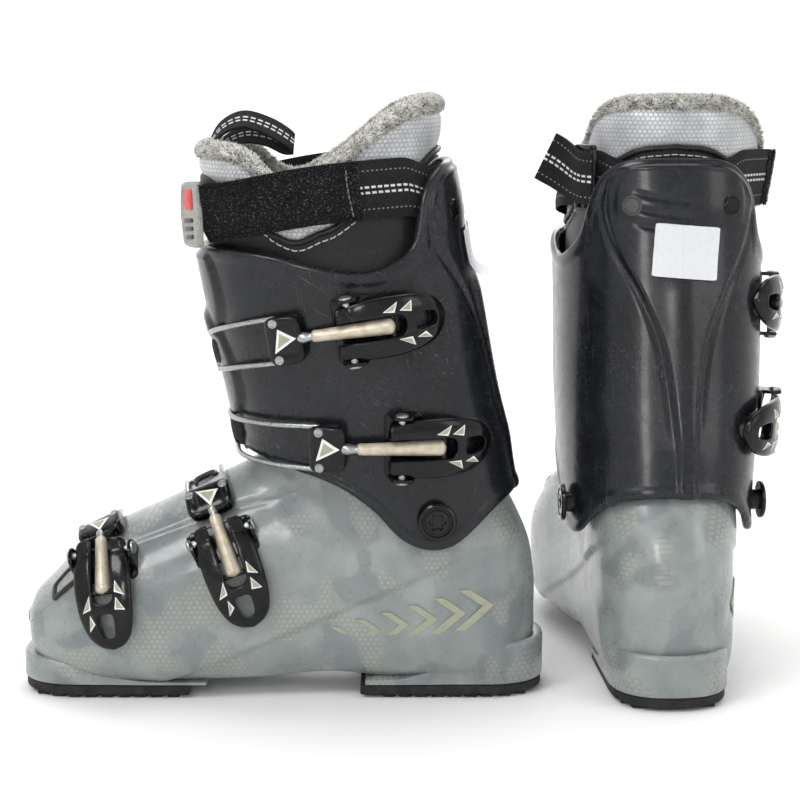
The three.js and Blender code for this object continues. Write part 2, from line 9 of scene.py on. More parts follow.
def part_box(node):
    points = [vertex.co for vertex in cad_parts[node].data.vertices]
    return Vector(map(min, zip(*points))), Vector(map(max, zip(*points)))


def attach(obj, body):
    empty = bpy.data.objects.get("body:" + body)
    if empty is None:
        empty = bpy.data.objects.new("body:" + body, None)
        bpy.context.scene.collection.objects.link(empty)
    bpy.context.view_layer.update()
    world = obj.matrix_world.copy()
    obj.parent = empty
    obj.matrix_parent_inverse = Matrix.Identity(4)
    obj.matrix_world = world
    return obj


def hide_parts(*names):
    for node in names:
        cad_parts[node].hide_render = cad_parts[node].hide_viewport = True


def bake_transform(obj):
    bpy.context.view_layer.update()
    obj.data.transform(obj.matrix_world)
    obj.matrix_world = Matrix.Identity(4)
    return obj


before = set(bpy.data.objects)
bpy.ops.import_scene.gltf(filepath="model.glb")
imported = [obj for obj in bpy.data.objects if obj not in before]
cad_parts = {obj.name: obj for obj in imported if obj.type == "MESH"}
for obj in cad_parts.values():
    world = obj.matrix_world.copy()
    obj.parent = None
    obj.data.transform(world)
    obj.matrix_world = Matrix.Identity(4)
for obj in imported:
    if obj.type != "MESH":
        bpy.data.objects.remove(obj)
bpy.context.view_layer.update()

# A pair of alpine ski boots. Shapes are made in one boot's own frame, in millimetres: x from the back of the
# heel to the toe, y to the outer side, z up. Each shape is then placed twice, as a left and a mirrored right boot.

MM = 0.001
UP = np.array([0.0, 0.0, 1.0])
RANDOM = np.random.default_rng(26)

# ---- driving dimensions, as in the CAD source ----
SOLE_LENGTH = 305
SOLE_HALF_WIDTH = 34.5
SOLE_THICKNESS = 8
TOE_LUG_TOP = 24
HEEL_LUG_TOP = 33
SHELL_WALL = 4.5
CUFF_WALL = 4.5
LINER_WALL = 8
PIVOT = (63, 110)
STRAP_WIDTH = 32.5
STRAP_SLACK = 6
LINER_FLARE = 9
LEFT_HEEL = (84, 0)
LEFT_TURN = math.pi
RIGHT_HEEL = (157, -62)
RIGHT_TURN = math.pi / 2 + 0.06

# back x, back z, front x, front z, half width, sideways shift, power at the sole, power at the instep
SHELL_SECTIONS = np.array(
    [
        [300.5, 36, 301.5, 46, 12, -3, 2.2, 2.2],
        [298.5, 24, 297.5, 56, 26, -3, 2.4, 2.2],
        [291, 15, 288, 66, 36, -3.5, 2.6, 2.1],
        [276, 9.5, 271, 83, 44, -4, 2.8, 2.1],
        [252, 8.8, 250, 95, 49, -5, 3, 2.1],
        [225, 8.8, 225, 106, 51, -6, 3, 2.1],
        [195, 8.8, 202, 117, 49.5, -5, 3, 2.1],
        [160, 10, 186, 125.5, 45.5, -3.5, 3, 2.1],
        [125, 13, 177, 130, 42.5, -2, 3, 2.1],
        [90, 10, 169, 134.5, 41, -1, 3, 2.1],
        [50, 9, 163, 139, 41, 0, 3, 2.2],
        [14, 10, 160, 144, 41.5, 0, 2.8, 2.2],
        [6, 30, 159.5, 148, 42, 0, 2.5, 2.2],
        [6, 60, 160, 152, 43, 0, 2.4, 2.2],
        [8, 85, 161, 156, 44, 0, 2.3, 2.2],
        [16, 106, 162.5, 160, 45, 0, 2.3, 2.2],
        [27, 127, 164, 163, 45.5, 0, 2.3, 2.2],
        [36, 147, 165.5, 166, 45, 0, 2.3, 2.2],
    ]
)
# back x, z, front x, z, half width, sideways shift, power at the back, power at the front
CUFF_SECTIONS = np.array(
    [
        [9, 88, 165, 88, 54, 0, 2.4, 2.4],
        [15, 115, 169, 115, 56, 0, 2.4, 2.4],
        [22, 146, 174, 146, 58, 1, 2.4, 2.4],
        [31, 181, 181.5, 181, 60, 2, 2.4, 2.4],
        [39.5, 228, 191.5, 228, 60.5, 3, 2.4, 2.4],
        [46, 258, 197, 258, 61, 3.5, 2.4, 2.4],
        [50, 285, 200, 285, 61, 4, 2.4, 2.4],
        [54.5, 307, 203, 307, 60, 4, 2.4, 2.4],
        [58, 325, 205, 325, 58, 4, 2.4, 2.4],
    ]
)
LINER_SECTIONS = np.array(
    [
        [32, 150, 166.5, 150, 51, 1, 2.4, 2.4],
        [37, 181, 175, 181, 53, 2, 2.4, 2.4],
        [46, 228, 185, 228, 54, 3, 2.4, 2.4],
        [54, 256, 189, 256, 53, 3.5, 2.4, 2.4],
        [58.5, 280, 196, 280, 52.5, 4, 2.4, 2.4],
        [63, 305, 197.5, 305, 52.5, 4, 2.3, 2.3],
        [61.5, 330, 195, 330, 52.5, 4, 2.3, 2.3],
        [62, 348, 190, 348, 48, 4, 2.3, 2.3],
    ]
)
CUFF_TOP_EDGE = [
    (30, 311), (58, 309), (66, 300), (70, 287), (73, 268), (81, 259),
    (96, 252), (112, 251), (134, 255), (156, 260), (176, 262), (240, 262),
]
CUFF_BOTTOM_EDGE = [
    (-20, 123), (15, 121), (28, 115), (38, 107), (46, 100), (54, 94.5), (64, 92.5),
    (75, 95), (84, 101), (97, 115), (121, 131), (154, 141), (174, 146), (240, 146),
]
LINER_TOP_EDGE = [
    (40, 341), (66, 341), (81, 337), (93, 330), (111, 316), (131, 303),
    (146, 297), (158, 301), (170, 312), (183, 316), (230, 313),
]
SHELL_TOP = len(SHELL_SECTIONS) - 1
CUFF_TOP = len(CUFF_SECTIONS) - 1
LINER_TOP = len(LINER_SECTIONS) - 1


# ---- small maths ----
def smoothstep(value, start, end):
    t = np.clip((value - start) / (end - start), 0, 1)
    return t * t * (3 - 2 * t)


def bump(value, centre, width):
    """A smooth bell, 1 at the centre and 0 beyond the width."""
    t = np.clip(np.abs(value - centre) / width, 0, 1)
    return (1 - t * t) ** 2


def unit(vectors):
    vectors = np.asarray(vectors, float)
    length = np.linalg.norm(vectors, axis=-1, keepdims=True)
    return vectors / np.maximum(length, 1e-9)


def signed_degrees(angles):
    return np.degrees((angles + math.pi) % (2 * math.pi) - math.pi)


def facing(vector, way):
    """The vector or its opposite, whichever points along way."""
    return vector if vector @ way >= 0 else -vector


def bisected(is_below, low, high, steps):
    """Where values stop being below a mark, between low and high."""
    for _ in range(steps):
        middle = (low + high) / 2
        below = is_below(middle)
        low, high = np.where(below, middle, low), np.where(below, high, middle)
    return low


def run_along(path):
    """The length along a path at each of its points."""
    return np.concatenate([[0], np.cumsum(np.linalg.norm(np.diff(path, axis=0), axis=1))])


def signed_power(value, power):
    return np.sign(value) * np.abs(value) ** power


def row_at(table, u):
    """Rows of a table of sections, on a smooth curve through them; u counts rows."""
    u = np.asarray(u, float)
    last = len(table) - 1
    i = np.clip(np.floor(u).astype(int), 0, last - 1)
    t = (u - i)[..., None]
    a, b, c, d = (table[np.clip(i + k, 0, last)] for k in (-1, 0, 1, 2))
    s = t * t * (3 - 2 * t)
    slopes = (c - a) / 2 * t * (1 - t) ** 2 - (d - b) / 2 * t * t * (1 - t)
    return b * (1 - s) + c * s + slopes


def section_point(rows, angle, inset=0.0):
    """A point of a section, a superellipse: angle 0 is at its front, pi/2 on the outer side, pi at its back."""
    back_x, back_z, front_x, front_z, half_width, shift, back_power, front_power = np.moveaxis(rows, -1, 0)
    c, s = np.cos(angle), np.sin(angle)
    power = 2 / np.where(c < 0, back_power, front_power)
    half_x, half_z = (front_x - back_x) / 2, (front_z - back_z) / 2
    length = np.hypot(half_x, half_z)
    keep = np.maximum(0.5, length - inset) / length
    along = signed_power(c, power) * keep
    x = (front_x + back_x) / 2 + half_x * along
    y = shift + np.maximum(0.5, half_width - inset) * signed_power(s, power)
    z = (front_z + back_z) / 2 + half_z * along
    return np.stack(np.broadcast_arrays(x, y, z), -1)


def shell_point(u, angle, inset=0.0):
    point = section_point(row_at(SHELL_SECTIONS, u), angle, inset)
    point[..., 0] -= inset * point[..., 0] / SOLE_LENGTH
    return point


def cuff_point(u, angle, inset=0.0):
    return section_point(row_at(CUFF_SECTIONS, u), angle, inset)


def liner_point(u, angle, inset=0.0):
    point = section_point(row_at(LINER_SECTIONS, u), angle, inset)
    rise = smoothstep(point[..., 2], 255, 325)
    point[..., 1] += LINER_FLARE * rise * smoothstep(point[..., 0], 66, 125)
    return point


def spline(points, count, closed=False):
    """Points evenly spaced along a smooth centripetal curve through the given ones."""
    p = np.asarray(points, float)
    if closed:
        p = np.vstack([p[-1], p, p[0], p[1]])
    else:
        p = np.vstack([2 * p[0] - p[1], p, 2 * p[-1] - p[-2]])
    fine = []
    for a, b, c, d in zip(p, p[1:], p[2:], p[3:]):
        ta, tb, tc = (max(1e-6, np.linalg.norm(q - r)) ** 0.5 for q, r in ((b, a), (c, b), (d, c)))
        t = np.linspace(0, 1, 24, endpoint=False)[:, None] * tb
        start = tb * ((b - a) / ta - (c - a) / (ta + tb) + (c - b) / tb)
        end = tb * ((c - b) / tb - (d - b) / (tb + tc) + (d - c) / tc)
        s = t / tb
        fine.append(
            b * (2 * s**3 - 3 * s**2 + 1)
            + c * (3 * s**2 - 2 * s**3)
            + start * (s**3 - 2 * s**2 + s)
            + end * (s**3 - s**2)
        )
    fine = np.vstack([*fine, p[-2][None]])
    length = run_along(fine)
    wanted = np.linspace(0, length[-1], count + 1 if closed else count)
    wanted = wanted[:-1] if closed else wanted
    return np.stack([np.interp(wanted, length, fine[:, k]) for k in range(p.shape[1])], -1)


def rounded(corners, radius, count):
    """A closed outline through corners, with each corner rounded off."""
    corners = np.asarray(corners, float)
    arcs = []
    for before, here, after in zip(np.roll(corners, 1, 0), corners, np.roll(corners, -1, 0)):
        start = here + unit(before - here) * radius
        end = here + unit(after - here) * radius
        arcs += [start, (start + end) / 4 + here / 2, end]
    return spline(arcs, count, closed=True)


# ---- shapes: (points, faces) ----
def merge(*shapes):
    points, faces, first = [], [], 0
    for shape_points, shape_faces in shapes:
        points.append(shape_points)
        faces += [tuple(i + first for i in face) for face in shape_faces]
        first += len(shape_points)
    return np.vstack(points), faces


def loft(rings, cyclic=False):
    """A skin over rings with as many points each: capped at both ends, or joined end to end when cyclic."""
    rings = np.asarray(rings, float)
    rows, count = rings.shape[:2]
    index = np.arange(rows * count).reshape(rows, count)
    below = index if cyclic else index[:-1]
    above = np.roll(index, -1, 0) if cyclic else index[1:]
    quads = np.stack([below, np.roll(below, -1, 1), np.roll(above, -1, 1), above], -1)
    faces = [tuple(q) for q in quads.reshape(-1, 4).tolist()]
    points = rings.reshape(-1, 3)
    if not cyclic:
        for ring in (0, rows - 1):
            centre = len(points)
            points = np.vstack([points, rings[ring].mean(0)])
            loop = index[ring].tolist()
            faces += [(a, b, centre) for a, b in zip(loop, loop[1:] + loop[:1])]
    return points, faces


def tube(path, radii, sides=12):
    """A round bar along a path, with a radius at each point and rounded ends."""
    path = np.asarray(path, float)
    radii = np.broadcast_to(np.asarray(radii, float), len(path))
    tangents = unit(np.gradient(path, axis=0))
    normal = unit(np.cross(tangents[0], (0.31, 0.22, 0.93)))
    rings = []
    around = np.linspace(0, 2 * math.pi, sides, endpoint=False)
    ends = [(0.25, 1.0), (0.7, 0.7), (0.95, 0.3)]
    for point, tangent, radius in zip(path, tangents, radii):
        normal = unit(normal - tangent * (normal @ tangent))
        side = np.cross(tangent, normal)
        disc = np.outer(np.cos(around), normal) + np.outer(np.sin(around), side)
        if not rings:
            rings += [point - tangent * radius * reach * 0.6 + disc * radius * share for share, reach in ends]
        rings.append(point + disc * radius)
    last = [point + tangent * radius * reach * 0.6 + disc * radius * share for share, reach in ends[::-1]]
    return loft(rings + last)


def revolve(profile, sides=32, star=0.0):
    """A turned solid about z from (radius, height) pairs; a negative radius marks a six-pointed star's ring."""
    around = np.linspace(0, 2 * math.pi, sides, endpoint=False)
    rings = []
    for radius, height in profile:
        wave = 1 + (star * np.cos(6 * around) if radius < 0 else 0)
        reach = abs(radius) * wave * np.ones(sides)
        rings.append(np.stack([reach * np.cos(around), reach * np.sin(around), np.full(sides, height)], -1))
    return loft(rings)


def outline_inset(outline, distance):
    """A closed outline moved inwards by a distance."""
    ahead = np.roll(outline, -1, 0) - np.roll(outline, 1, 0)
    normal = unit(np.stack([ahead[:, 1], -ahead[:, 0]], -1))
    area = np.sum(outline[:, 0] * np.roll(outline[:, 1], -1) - outline[:, 1] * np.roll(outline[:, 0], -1))
    return outline - normal * distance * np.sign(area)


def plate(outline, levels):
    """A flat solid from an outline in x and y: levels are (height, inset) pairs."""
    rings = [
        np.column_stack([outline_inset(outline, inset), np.full(len(outline), height)]) for height, inset in levels
    ]
    return loft(rings)


def rounded_rectangle(x0, x1, half_width, corner, steps=6):
    """The outline of a rectangle with round corners, anticlockwise."""
    outline = []
    for cx, cy, turn in ((x1, 1, 0), (x0, 1, 1), (x0, -1, 2), (x1, -1, 3)):
        centre_x = cx + (corner if cx == x0 else -corner)
        centre_y = cy * (half_width - corner)
        for k in range(steps + 1):
            angle = (turn + k / steps) * math.pi / 2
            outline.append((centre_x + corner * math.cos(angle), centre_y + corner * math.sin(angle)))
    return np.array(outline)


def pillow(size_x, size_y, size_z, power=5, count=28):
    """A box with soft, full sides and round edges."""
    rings = []
    for v in np.linspace(-math.pi / 2, math.pi / 2, count)[1:-1]:
        u = np.linspace(0, 2 * math.pi, 2 * count, endpoint=False)
        flat = signed_power(np.cos(v), 2 / power)
        ring = [
            size_x / 2 * flat * signed_power(np.cos(u), 2 / power),
            size_y / 2 * flat * signed_power(np.sin(u), 2 / power),
            size_z / 2 * signed_power(np.sin(v), 2 / power) * np.ones(len(u)),
        ]
        rings.append(np.stack(ring, -1))
    return loft(rings)


def in_frame(shape, place):
    """A shape made at the origin, put into a frame: x runs along, y across and z along the normal."""
    points, faces = shape
    origin, along, across, normal = place
    return origin + points @ np.stack([along, across, normal]), faces


def moved(shape, x=0.0, y=0.0, z=0.0):
    return shape[0] + np.array([x, y, z]), shape[1]


def grid_normals(grid):
    """Normals of a grid of points that closes on itself along its second axis."""
    across = np.roll(grid, -1, 1) - np.roll(grid, 1, 1)
    along = np.gradient(grid, axis=0)
    return unit(np.cross(across, along))


def outward_normals(grid):
    """The grid's normals, all turned to the side away from its middle."""
    normals = grid_normals(grid)
    away = grid - grid.mean(1, keepdims=True)
    return normals if (normals * away).sum() > 0 else -normals


def between(edge_a, edge_b, rows):
    """A grid of points, in rows from one edge to the other."""
    return np.array([edge_a * (1 - share) + edge_b * share for share in np.linspace(0, 1, rows)])


def plate_from_grid(top, down):
    """A thin closed plate under a grid of points."""
    rows, count = top.shape[:2]
    size = rows * count
    index = np.arange(size).reshape(rows, count)
    quads = np.stack([index[:-1, :-1], index[:-1, 1:], index[1:, 1:], index[1:, :-1]], -1).reshape(-1, 4)
    faces = [tuple(quad) for quad in [*quads.tolist(), *(quads[:, ::-1] + size).tolist()]]
    loop = [*index[0], *index[1:, -1], *index[-1, -2::-1], *index[-2:0:-1, 0]]
    faces += [(a, a + size, b + size, b) for a, b in zip(loop, loop[1:] + loop[:1])]
    return np.vstack([top.reshape(-1, 3), (top + down).reshape(-1, 3)]), faces


def printed(edge_a, edge_b, rows, height_at, thickness):
    """A thin printed shape between two edges given in x and y, on a surface of known height."""
    grid = between(edge_a, edge_b, rows)
    top = np.concatenate([grid, height_at(grid[..., 0], grid[..., 1])[..., None]], -1)
    return plate_from_grid(top, np.array([0, 0, -thickness]))


def triangle_edges(corners, count):
    """Two edges of a triangle that leave the same corner, for printed()."""
    a, b, c = corners
    return np.linspace(a, b, count), np.linspace(a * 0.97 + c * 0.03, c, count)


# ---- Blender helpers ----
def face_outwards(mesh):
    work = bmesh.new()
    work.from_mesh(mesh)
    bmesh.ops.recalc_face_normals(work, faces=work.faces)
    work.to_mesh(mesh)
    work.free()


def shape_object(name, shape):
    mesh = bpy.data.meshes.new(name)
    mesh.from_pydata(shape[0].tolist(), [], shape[1])
    face_outwards(mesh)
    made = bpy.data.objects.new(name, mesh)
    bpy.context.scene.collection.objects.link(made)
    return made


def modified(shape, *modifiers, tools=()):
    """The shape after Blender modifiers, given as (type, settings); tools are shapes for booleans, in order."""
    base = shape_object("work", shape)
    helpers = [shape_object("tool", tool) for tool in tools]
    for helper, (kind, settings) in zip(helpers, [m for m in modifiers if m[0] == "BOOLEAN"]):
        settings["object"] = helper
    for kind, settings in modifiers:
        modifier = base.modifiers.new(kind, kind)
        for key, value in settings.items():
            setattr(modifier, key, value)
    bpy.context.view_layer.update()
    mesh = base.evaluated_get(bpy.context.evaluated_depsgraph_get()).to_mesh()
    points = np.empty(len(mesh.vertices) * 3)
    mesh.vertices.foreach_get("co", points)
    faces = [tuple(p.vertices) for p in mesh.polygons]
    for helper in [base, *helpers]:
        data = helper.data
        bpy.data.objects.remove(helper)
        bpy.data.meshes.remove(data)
    return points.reshape(-1, 3), faces


def boolean(operation, shape, *tools):
    steps = [("BOOLEAN", {"operation": operation, "solver": "MANIFOLD"}) for _ in tools]
    return modified(shape, *steps, tools=tools)


def remeshed(shape, voxel, smoothing):
    """One closed skin over a shape, with its edges rounded off."""
    return modified(
        shape,
        ("REMESH", {"mode": "VOXEL", "voxel_size": voxel}),
        ("SMOOTH", {"factor": 0.5, "iterations": smoothing}),
    )


LOW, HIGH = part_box("left_heel_sole")
SHIFT = Vector((HIGH.x / MM - (LEFT_HEEL[0] - 1), (LOW.y + HIGH.y) / 2 / MM, 0))


def boot_matrix(heel, turn, mirror):
    place = Matrix.Translation(Vector((*heel, 0)) + SHIFT) @ Matrix.Rotation(turn, 4, "Z")
    scale = Matrix.Diagonal((1, -1 if mirror else 1, 1, 1))
    return Matrix.Scale(MM, 4) @ place @ scale


PLACES = {
    "left": boot_matrix(LEFT_HEEL, LEFT_TURN, False),
    "right": boot_matrix(RIGHT_HEEL, RIGHT_TURN, True),
}


def add_piece(side, name, shape, finish, body, slot, replaces=(), sharp=45, values=None):
    """Makes one piece of one boot from a shape in the boot's frame, and makes it ride on its body."""
    points, faces = shape
    full_name = f"{side}_{name}"
    mesh = bpy.data.meshes.new(full_name)
    mesh.from_pydata(points.tolist(), [], faces)
    local = mesh.attributes.new("local", "FLOAT_VECTOR", "POINT")
    local.data.foreach_set("vector", points.astype(np.float32).ravel())
    for key, data in (values or {}).items():
        data = np.asarray(data, np.float32)
        kind = "FLOAT_VECTOR" if data.ndim == 2 else "FLOAT"
        field = "vector" if data.ndim == 2 else "value"
        mesh.attributes.new(key, kind, "POINT").data.foreach_set(field, data.ravel())
    mesh.transform(PLACES[side])
    face_outwards(mesh)
    mesh.shade_smooth()
    mesh.set_sharp_from_angle(angle=math.radians(sharp))
    mesh.materials.append(finish)
    piece = bpy.data.objects.new(full_name, mesh)
    bpy.context.scene.collection.objects.link(piece)
    if body is not None:
        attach(piece, "boots" if body == "boots" else f"{side}_{body}")
    if replaces:
        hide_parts(*[f"{side}_{node}" for node in replaces])
    return piece


# ---- materials ----
class Finish:
    """A material, with short ways to add nodes to it."""

    def __init__(self, name, **sockets):
        self.material = bpy.data.materials.new(name)
        self.material.use_nodes = True
        self.tree = self.material.node_tree
        self.shader = self.tree.nodes["Principled BSDF"]
        for key, value in sockets.items():
            self.set(key.replace("_", " "), value)

    def feed(self, socket, value):
        """Links a node's output to a socket, or sets the socket's own value."""
        if isinstance(value, bpy.types.NodeSocket):
            self.tree.links.new(value, socket)
        elif isinstance(value, tuple) and socket.type == "RGBA":
            socket.default_value = (*value, 1)
        else:
            socket.default_value = value

    def set(self, key, value):
        names = {"Specular Level": "Specular IOR Level"}
        self.feed(self.shader.inputs[names.get(key, key)], value)

    def node(self, kind, inputs, output=0, **settings):
        made = self.tree.nodes.new("ShaderNode" + kind)
        for key, value in settings.items():
            setattr(made, key, value)
        for key, value in inputs.items():
            self.feed(made.inputs[key], value)
        return made.outputs[output]

    def attribute(self, name, output="Vector"):
        return self.node("Attribute", {}, output, attribute_name=name)

    def maths(self, operation, a, b=0.0):
        return self.node("Math", {0: a, 1: b}, operation=operation)

    def times(self, a, b):
        return self.maths("MULTIPLY", a, b)

    def vector(self, operation, a, b=(0.0, 0.0, 0.0), output=0):
        return self.node("VectorMath", {0: a, 1: b}, output, operation=operation)

    def part(self, vector, axis):
        return self.node("SeparateXYZ", {0: vector}, axis)

    def noise(self, scale, detail=2.0, roughness=0.5, at=None, distortion=0.0):
        place = self.attribute("local") if at is None else at
        inputs = {"Vector": place, "Scale": scale, "Detail": detail, "Roughness": roughness, "Distortion": distortion}
        return self.node("TexNoise", inputs)

    def band(self, value, start, end):
        """0 up to start, 1 from end, smooth between."""
        inputs = {"Value": value, "From Min": start, "From Max": end}
        return self.node("MapRange", inputs, interpolation_type="SMOOTHSTEP")

    def span(self, value, start, end, low=0, high=1):
        inputs = {"Value": value, "From Min": start, "From Max": end, "To Min": low, "To Max": high}
        return self.node("MapRange", inputs)

    def mix(self, factor, a, b):
        return self.node("Mix", {0: factor, 6: a, 7: b}, 2, data_type="RGBA")

    def tones(self, noise, a, b, start=0.35):
        """A colour that wanders between two with a noise."""
        return self.mix(self.span(noise, start, 1 - start), a, b)

    def colour(self, value):
        self.set("Base Color", value)

    def rough(self, noise, low, high):
        self.set("Roughness", self.span(noise, 0.3, 0.7, low, high))

    def relief(self, height, depth_mm, strength=1.0):
        self.set("Normal", self.node("Bump", {"Height": height, "Distance": depth_mm * MM, "Strength": strength}))

    def stretched(self, x, y, z):
        return self.vector("MULTIPLY", self.attribute("local"), (x, y, z))

    def scratches(self, length, width, share, turn):
        """Thin straight marks: noise drawn out along one direction, kept only at its crests."""
        turned = self.node("VectorRotate", {"Vector": self.attribute("local"), "Angle": turn}, rotation_type="Y_AXIS")
        drawn = self.vector("MULTIPLY", turned, (length, width, width))
        return self.band(self.noise(1.0, 1.0, at=drawn), share, share + 0.05)

    def hexagons(self, pitch, x="X", y="Z", name="local"):
        """How far from the middle of its hexagon a point is, from 0 to 0.5 at the edge."""
        place = self.attribute(name)
        flat = self.node("CombineXYZ", {0: self.part(place, x), 1: self.part(place, y)})
        scaled = self.node("VectorMath", {0: flat, "Scale": 1 / pitch}, operation="SCALE")
        cell = (1.0, math.sqrt(3), 1.0)
        half = (0.5, math.sqrt(3) / 2, 0.0)
        far = []
        for start in ((0.0, 0.0, 0.0), half):
            shifted = self.vector("ADD", scaled, start)
            wrapped = self.node("VectorMath", {0: shifted, 1: cell, 2: (0.0, 0.0, 0.0)}, operation="WRAP")
            centred = self.vector("ABSOLUTE", self.vector("SUBTRACT", wrapped, half))
            edge = self.vector("DOT_PRODUCT", centred, half, 1)
            far.append(self.maths("MAXIMUM", edge, self.part(centred, "X")))
        return self.maths("MINIMUM", *far)


def frosted_shell():
    """Milky grey plastic, with dark patches and a honeycomb that show through from inside."""
    f = Finish("frosted_shell", Subsurface_Weight=0.3, Coat_Weight=0.35, Coat_Roughness=0.12)
    f.set("Subsurface Radius", (0.009, 0.010, 0.0095))
    f.set("Subsurface Scale", 1.0)
    patches = f.band(f.noise(0.03, 1.5, distortion=0.6), 0.51, 0.56)
    deep = f.band(f.noise(0.016, 1.0, at=f.stretched(1.0, 1.7, 1.3), distortion=0.5), 0.52, 0.56)
    comb_area = f.band(f.noise(0.028, 1.0, at=f.stretched(1.2, 1.0, 1.1)), 0.53, 0.59)
    line = f.band(f.hexagons(3.3), 0.24, 0.46)
    base = f.tones(f.noise(0.05, 3), (0.195, 0.218, 0.212), (0.262, 0.288, 0.277))
    base = f.mix(f.times(patches, 0.5), base, (0.118, 0.140, 0.154))
    base = f.mix(f.times(deep, 0.35), base, (0.140, 0.163, 0.172))
    cells = f.mix(line, (0.315, 0.318, 0.285), (0.205, 0.219, 0.207))
    base = f.mix(f.times(comb_area, 0.6), base, cells)
    marks = f.scratches(0.03, 1.6, 0.71, 0.35)
    f.colour(f.mix(f.times(marks, 0.2), base, (0.5, 0.52, 0.5)))
    f.rough(f.noise(0.35, 4), 0.24, 0.42)
    f.relief(f.maths("ADD", f.times(f.noise(0.08, 2), 0.6), f.times(marks, -0.12)), 0.5, 0.5)
    return f.material


def smoke_shell():
    """Smoke grey plastic with patches of fine scratches in three directions."""
    f = Finish("smoke_shell", Coat_Weight=0.12, Coat_Roughness=0.1, Specular_Level=0.3)
    base = f.tones(f.noise(0.02, 3), (0.006, 0.0068, 0.0085), (0.0095, 0.0108, 0.0135))
    marks = f.scratches(0.012, 0.9, 0.66, 0.5)
    for length, width, share, turn in ((0.05, 2.0, 0.69, -0.9), (0.02, 1.4, 0.69, 1.35)):
        marks = f.maths("MAXIMUM", marks, f.scratches(length, width, share, turn))
    marks = f.times(marks, f.band(f.noise(0.03, 3), 0.48, 0.66))
    f.colour(f.mix(f.times(marks, 0.42), base, (0.13, 0.135, 0.15)))
    rough = f.span(f.noise(0.12, 4), 0.3, 0.7, 0.22, 0.31)
    f.set("Roughness", f.maths("ADD", rough, f.times(marks, 0.25)))
    f.relief(f.maths("SUBTRACT", f.times(f.noise(0.018, 1), 0.8), f.times(marks, 0.1)), 0.22, 0.35)
    return f.material


def gloss_black():
    f = Finish("gloss_black", Coat_Weight=0.08, Coat_Roughness=0.05, Specular_Level=0.25)
    dust = f.band(f.noise(1.6, 3), 0.66, 0.76)
    marks = f.scratches(0.08, 2.4, 0.68, 0.8)
    f.colour(f.mix(f.maths("MAXIMUM", dust, marks), (0.0025, 0.0025, 0.003), (0.035, 0.035, 0.037)))
    f.rough(f.noise(0.5, 3), 0.09, 0.24)
    f.relief(f.noise(0.25, 2), 0.25, 0.4)
    return f.material


def matt_black(name, colour, rough, grain, depth):
    f = Finish(name, Specular_Level=0.25)
    lighter = tuple(min(1, 2.1 * c + 0.004) for c in colour)
    f.colour(f.tones(f.noise(grain * 0.15, 3), colour, lighter, 0.3))
    f.rough(f.noise(grain * 0.4, 2), rough - 0.1, min(1, rough + 0.1))
    f.relief(f.noise(grain, 4), depth, 0.8)
    return f.material


def satin_wire():
    f = Finish("satin_wire", Metallic=0.9)
    smear = f.noise(0.6, 4, at=f.stretched(0.4, 2.5, 2.5))
    f.colour(f.tones(smear, (0.26, 0.27, 0.265), (0.46, 0.47, 0.46)))
    f.rough(f.noise(1.2, 3), 0.22, 0.42)
    f.relief(smear, 0.06, 0.6)
    return f.material


def champagne():
    f = Finish("champagne", Metallic=0.25, Coat_Weight=0.4, Coat_Roughness=0.15)
    f.colour(f.tones(f.noise(0.2, 3), (0.42, 0.37, 0.28), (0.56, 0.50, 0.395)))
    f.rough(f.noise(0.8, 3), 0.26, 0.42)
    f.relief(f.noise(0.5, 3), 0.12, 0.5)
    return f.material


def liner_fabric():
    """Silver embossed with hexagons above the collar's seam, black with a fine grain below it, and fur inside."""
    f = Finish("liner_fabric", Sheen_Weight=0.04, Sheen_Roughness=0.4, Specular_Level=0.3)
    above = f.band(f.attribute("seam", "Fac"), -0.4, 0.4)
    line = f.band(f.hexagons(2.8, "X", "Y", "surf"), 0.34, 0.46)
    silver = f.tones(f.noise(0.06, 3), (0.42, 0.43, 0.445), (0.60, 0.61, 0.625))
    silver = f.mix(f.times(line, 0.6), silver, (0.24, 0.245, 0.255))
    black = f.tones(f.noise(0.8, 3), (0.004, 0.004, 0.0045), (0.013, 0.013, 0.014), 0.3)
    inside = f.band(f.part(f.attribute("surf"), "Z"), 0.4, 0.6)
    lining = f.mix(f.band(f.noise(0.9, 4, 0.7), 0.4, 0.62), (0.05, 0.05, 0.048), (0.30, 0.29, 0.27))
    f.colour(f.mix(inside, f.mix(above, black, silver), lining))
    f.set("Metallic", f.times(above, 0.35))
    f.set("Roughness", f.span(above, 0, 1, 0.5, 0.36))
    cells = f.times(f.maths("SUBTRACT", 1.0, line), above)
    grain = f.times(f.noise(1.8, 3), f.maths("SUBTRACT", 0.5, f.times(above, 0.4)))
    f.relief(f.maths("ADD", cells, grain), 0.35, 0.8)
    return f.material


def plush():
    """Heathered fur: pale grey with dark flecks, by each tuft's tone; on the roll's edge that tone also holds painted
    light and shade, lighter on top and darker down the sides.
    """
    f = Finish("fur", Sheen_Weight=0.4, Sheen_Roughness=0.6, Roughness=0.9)
    # The tone attribute is random per tuft, plus painted light and shade on the roll's edge: lighter on top, darker
    # down its sides.
    tone = f.times(f.attribute("tone", "Fac"), 0.55)
    value = f.maths("ADD", tone, f.times(f.noise(0.22, 3, 0.7), 0.9))
    colour = f.mix(f.band(value, 0.42, 0.56), (0.035, 0.034, 0.032), (0.36, 0.35, 0.315))
    f.colour(f.mix(f.band(value, 0.54, 0.85), colour, (0.66, 0.65, 0.60)))
    f.relief(f.noise(1.5, 4), 0.5, 0.6)
    return f.material


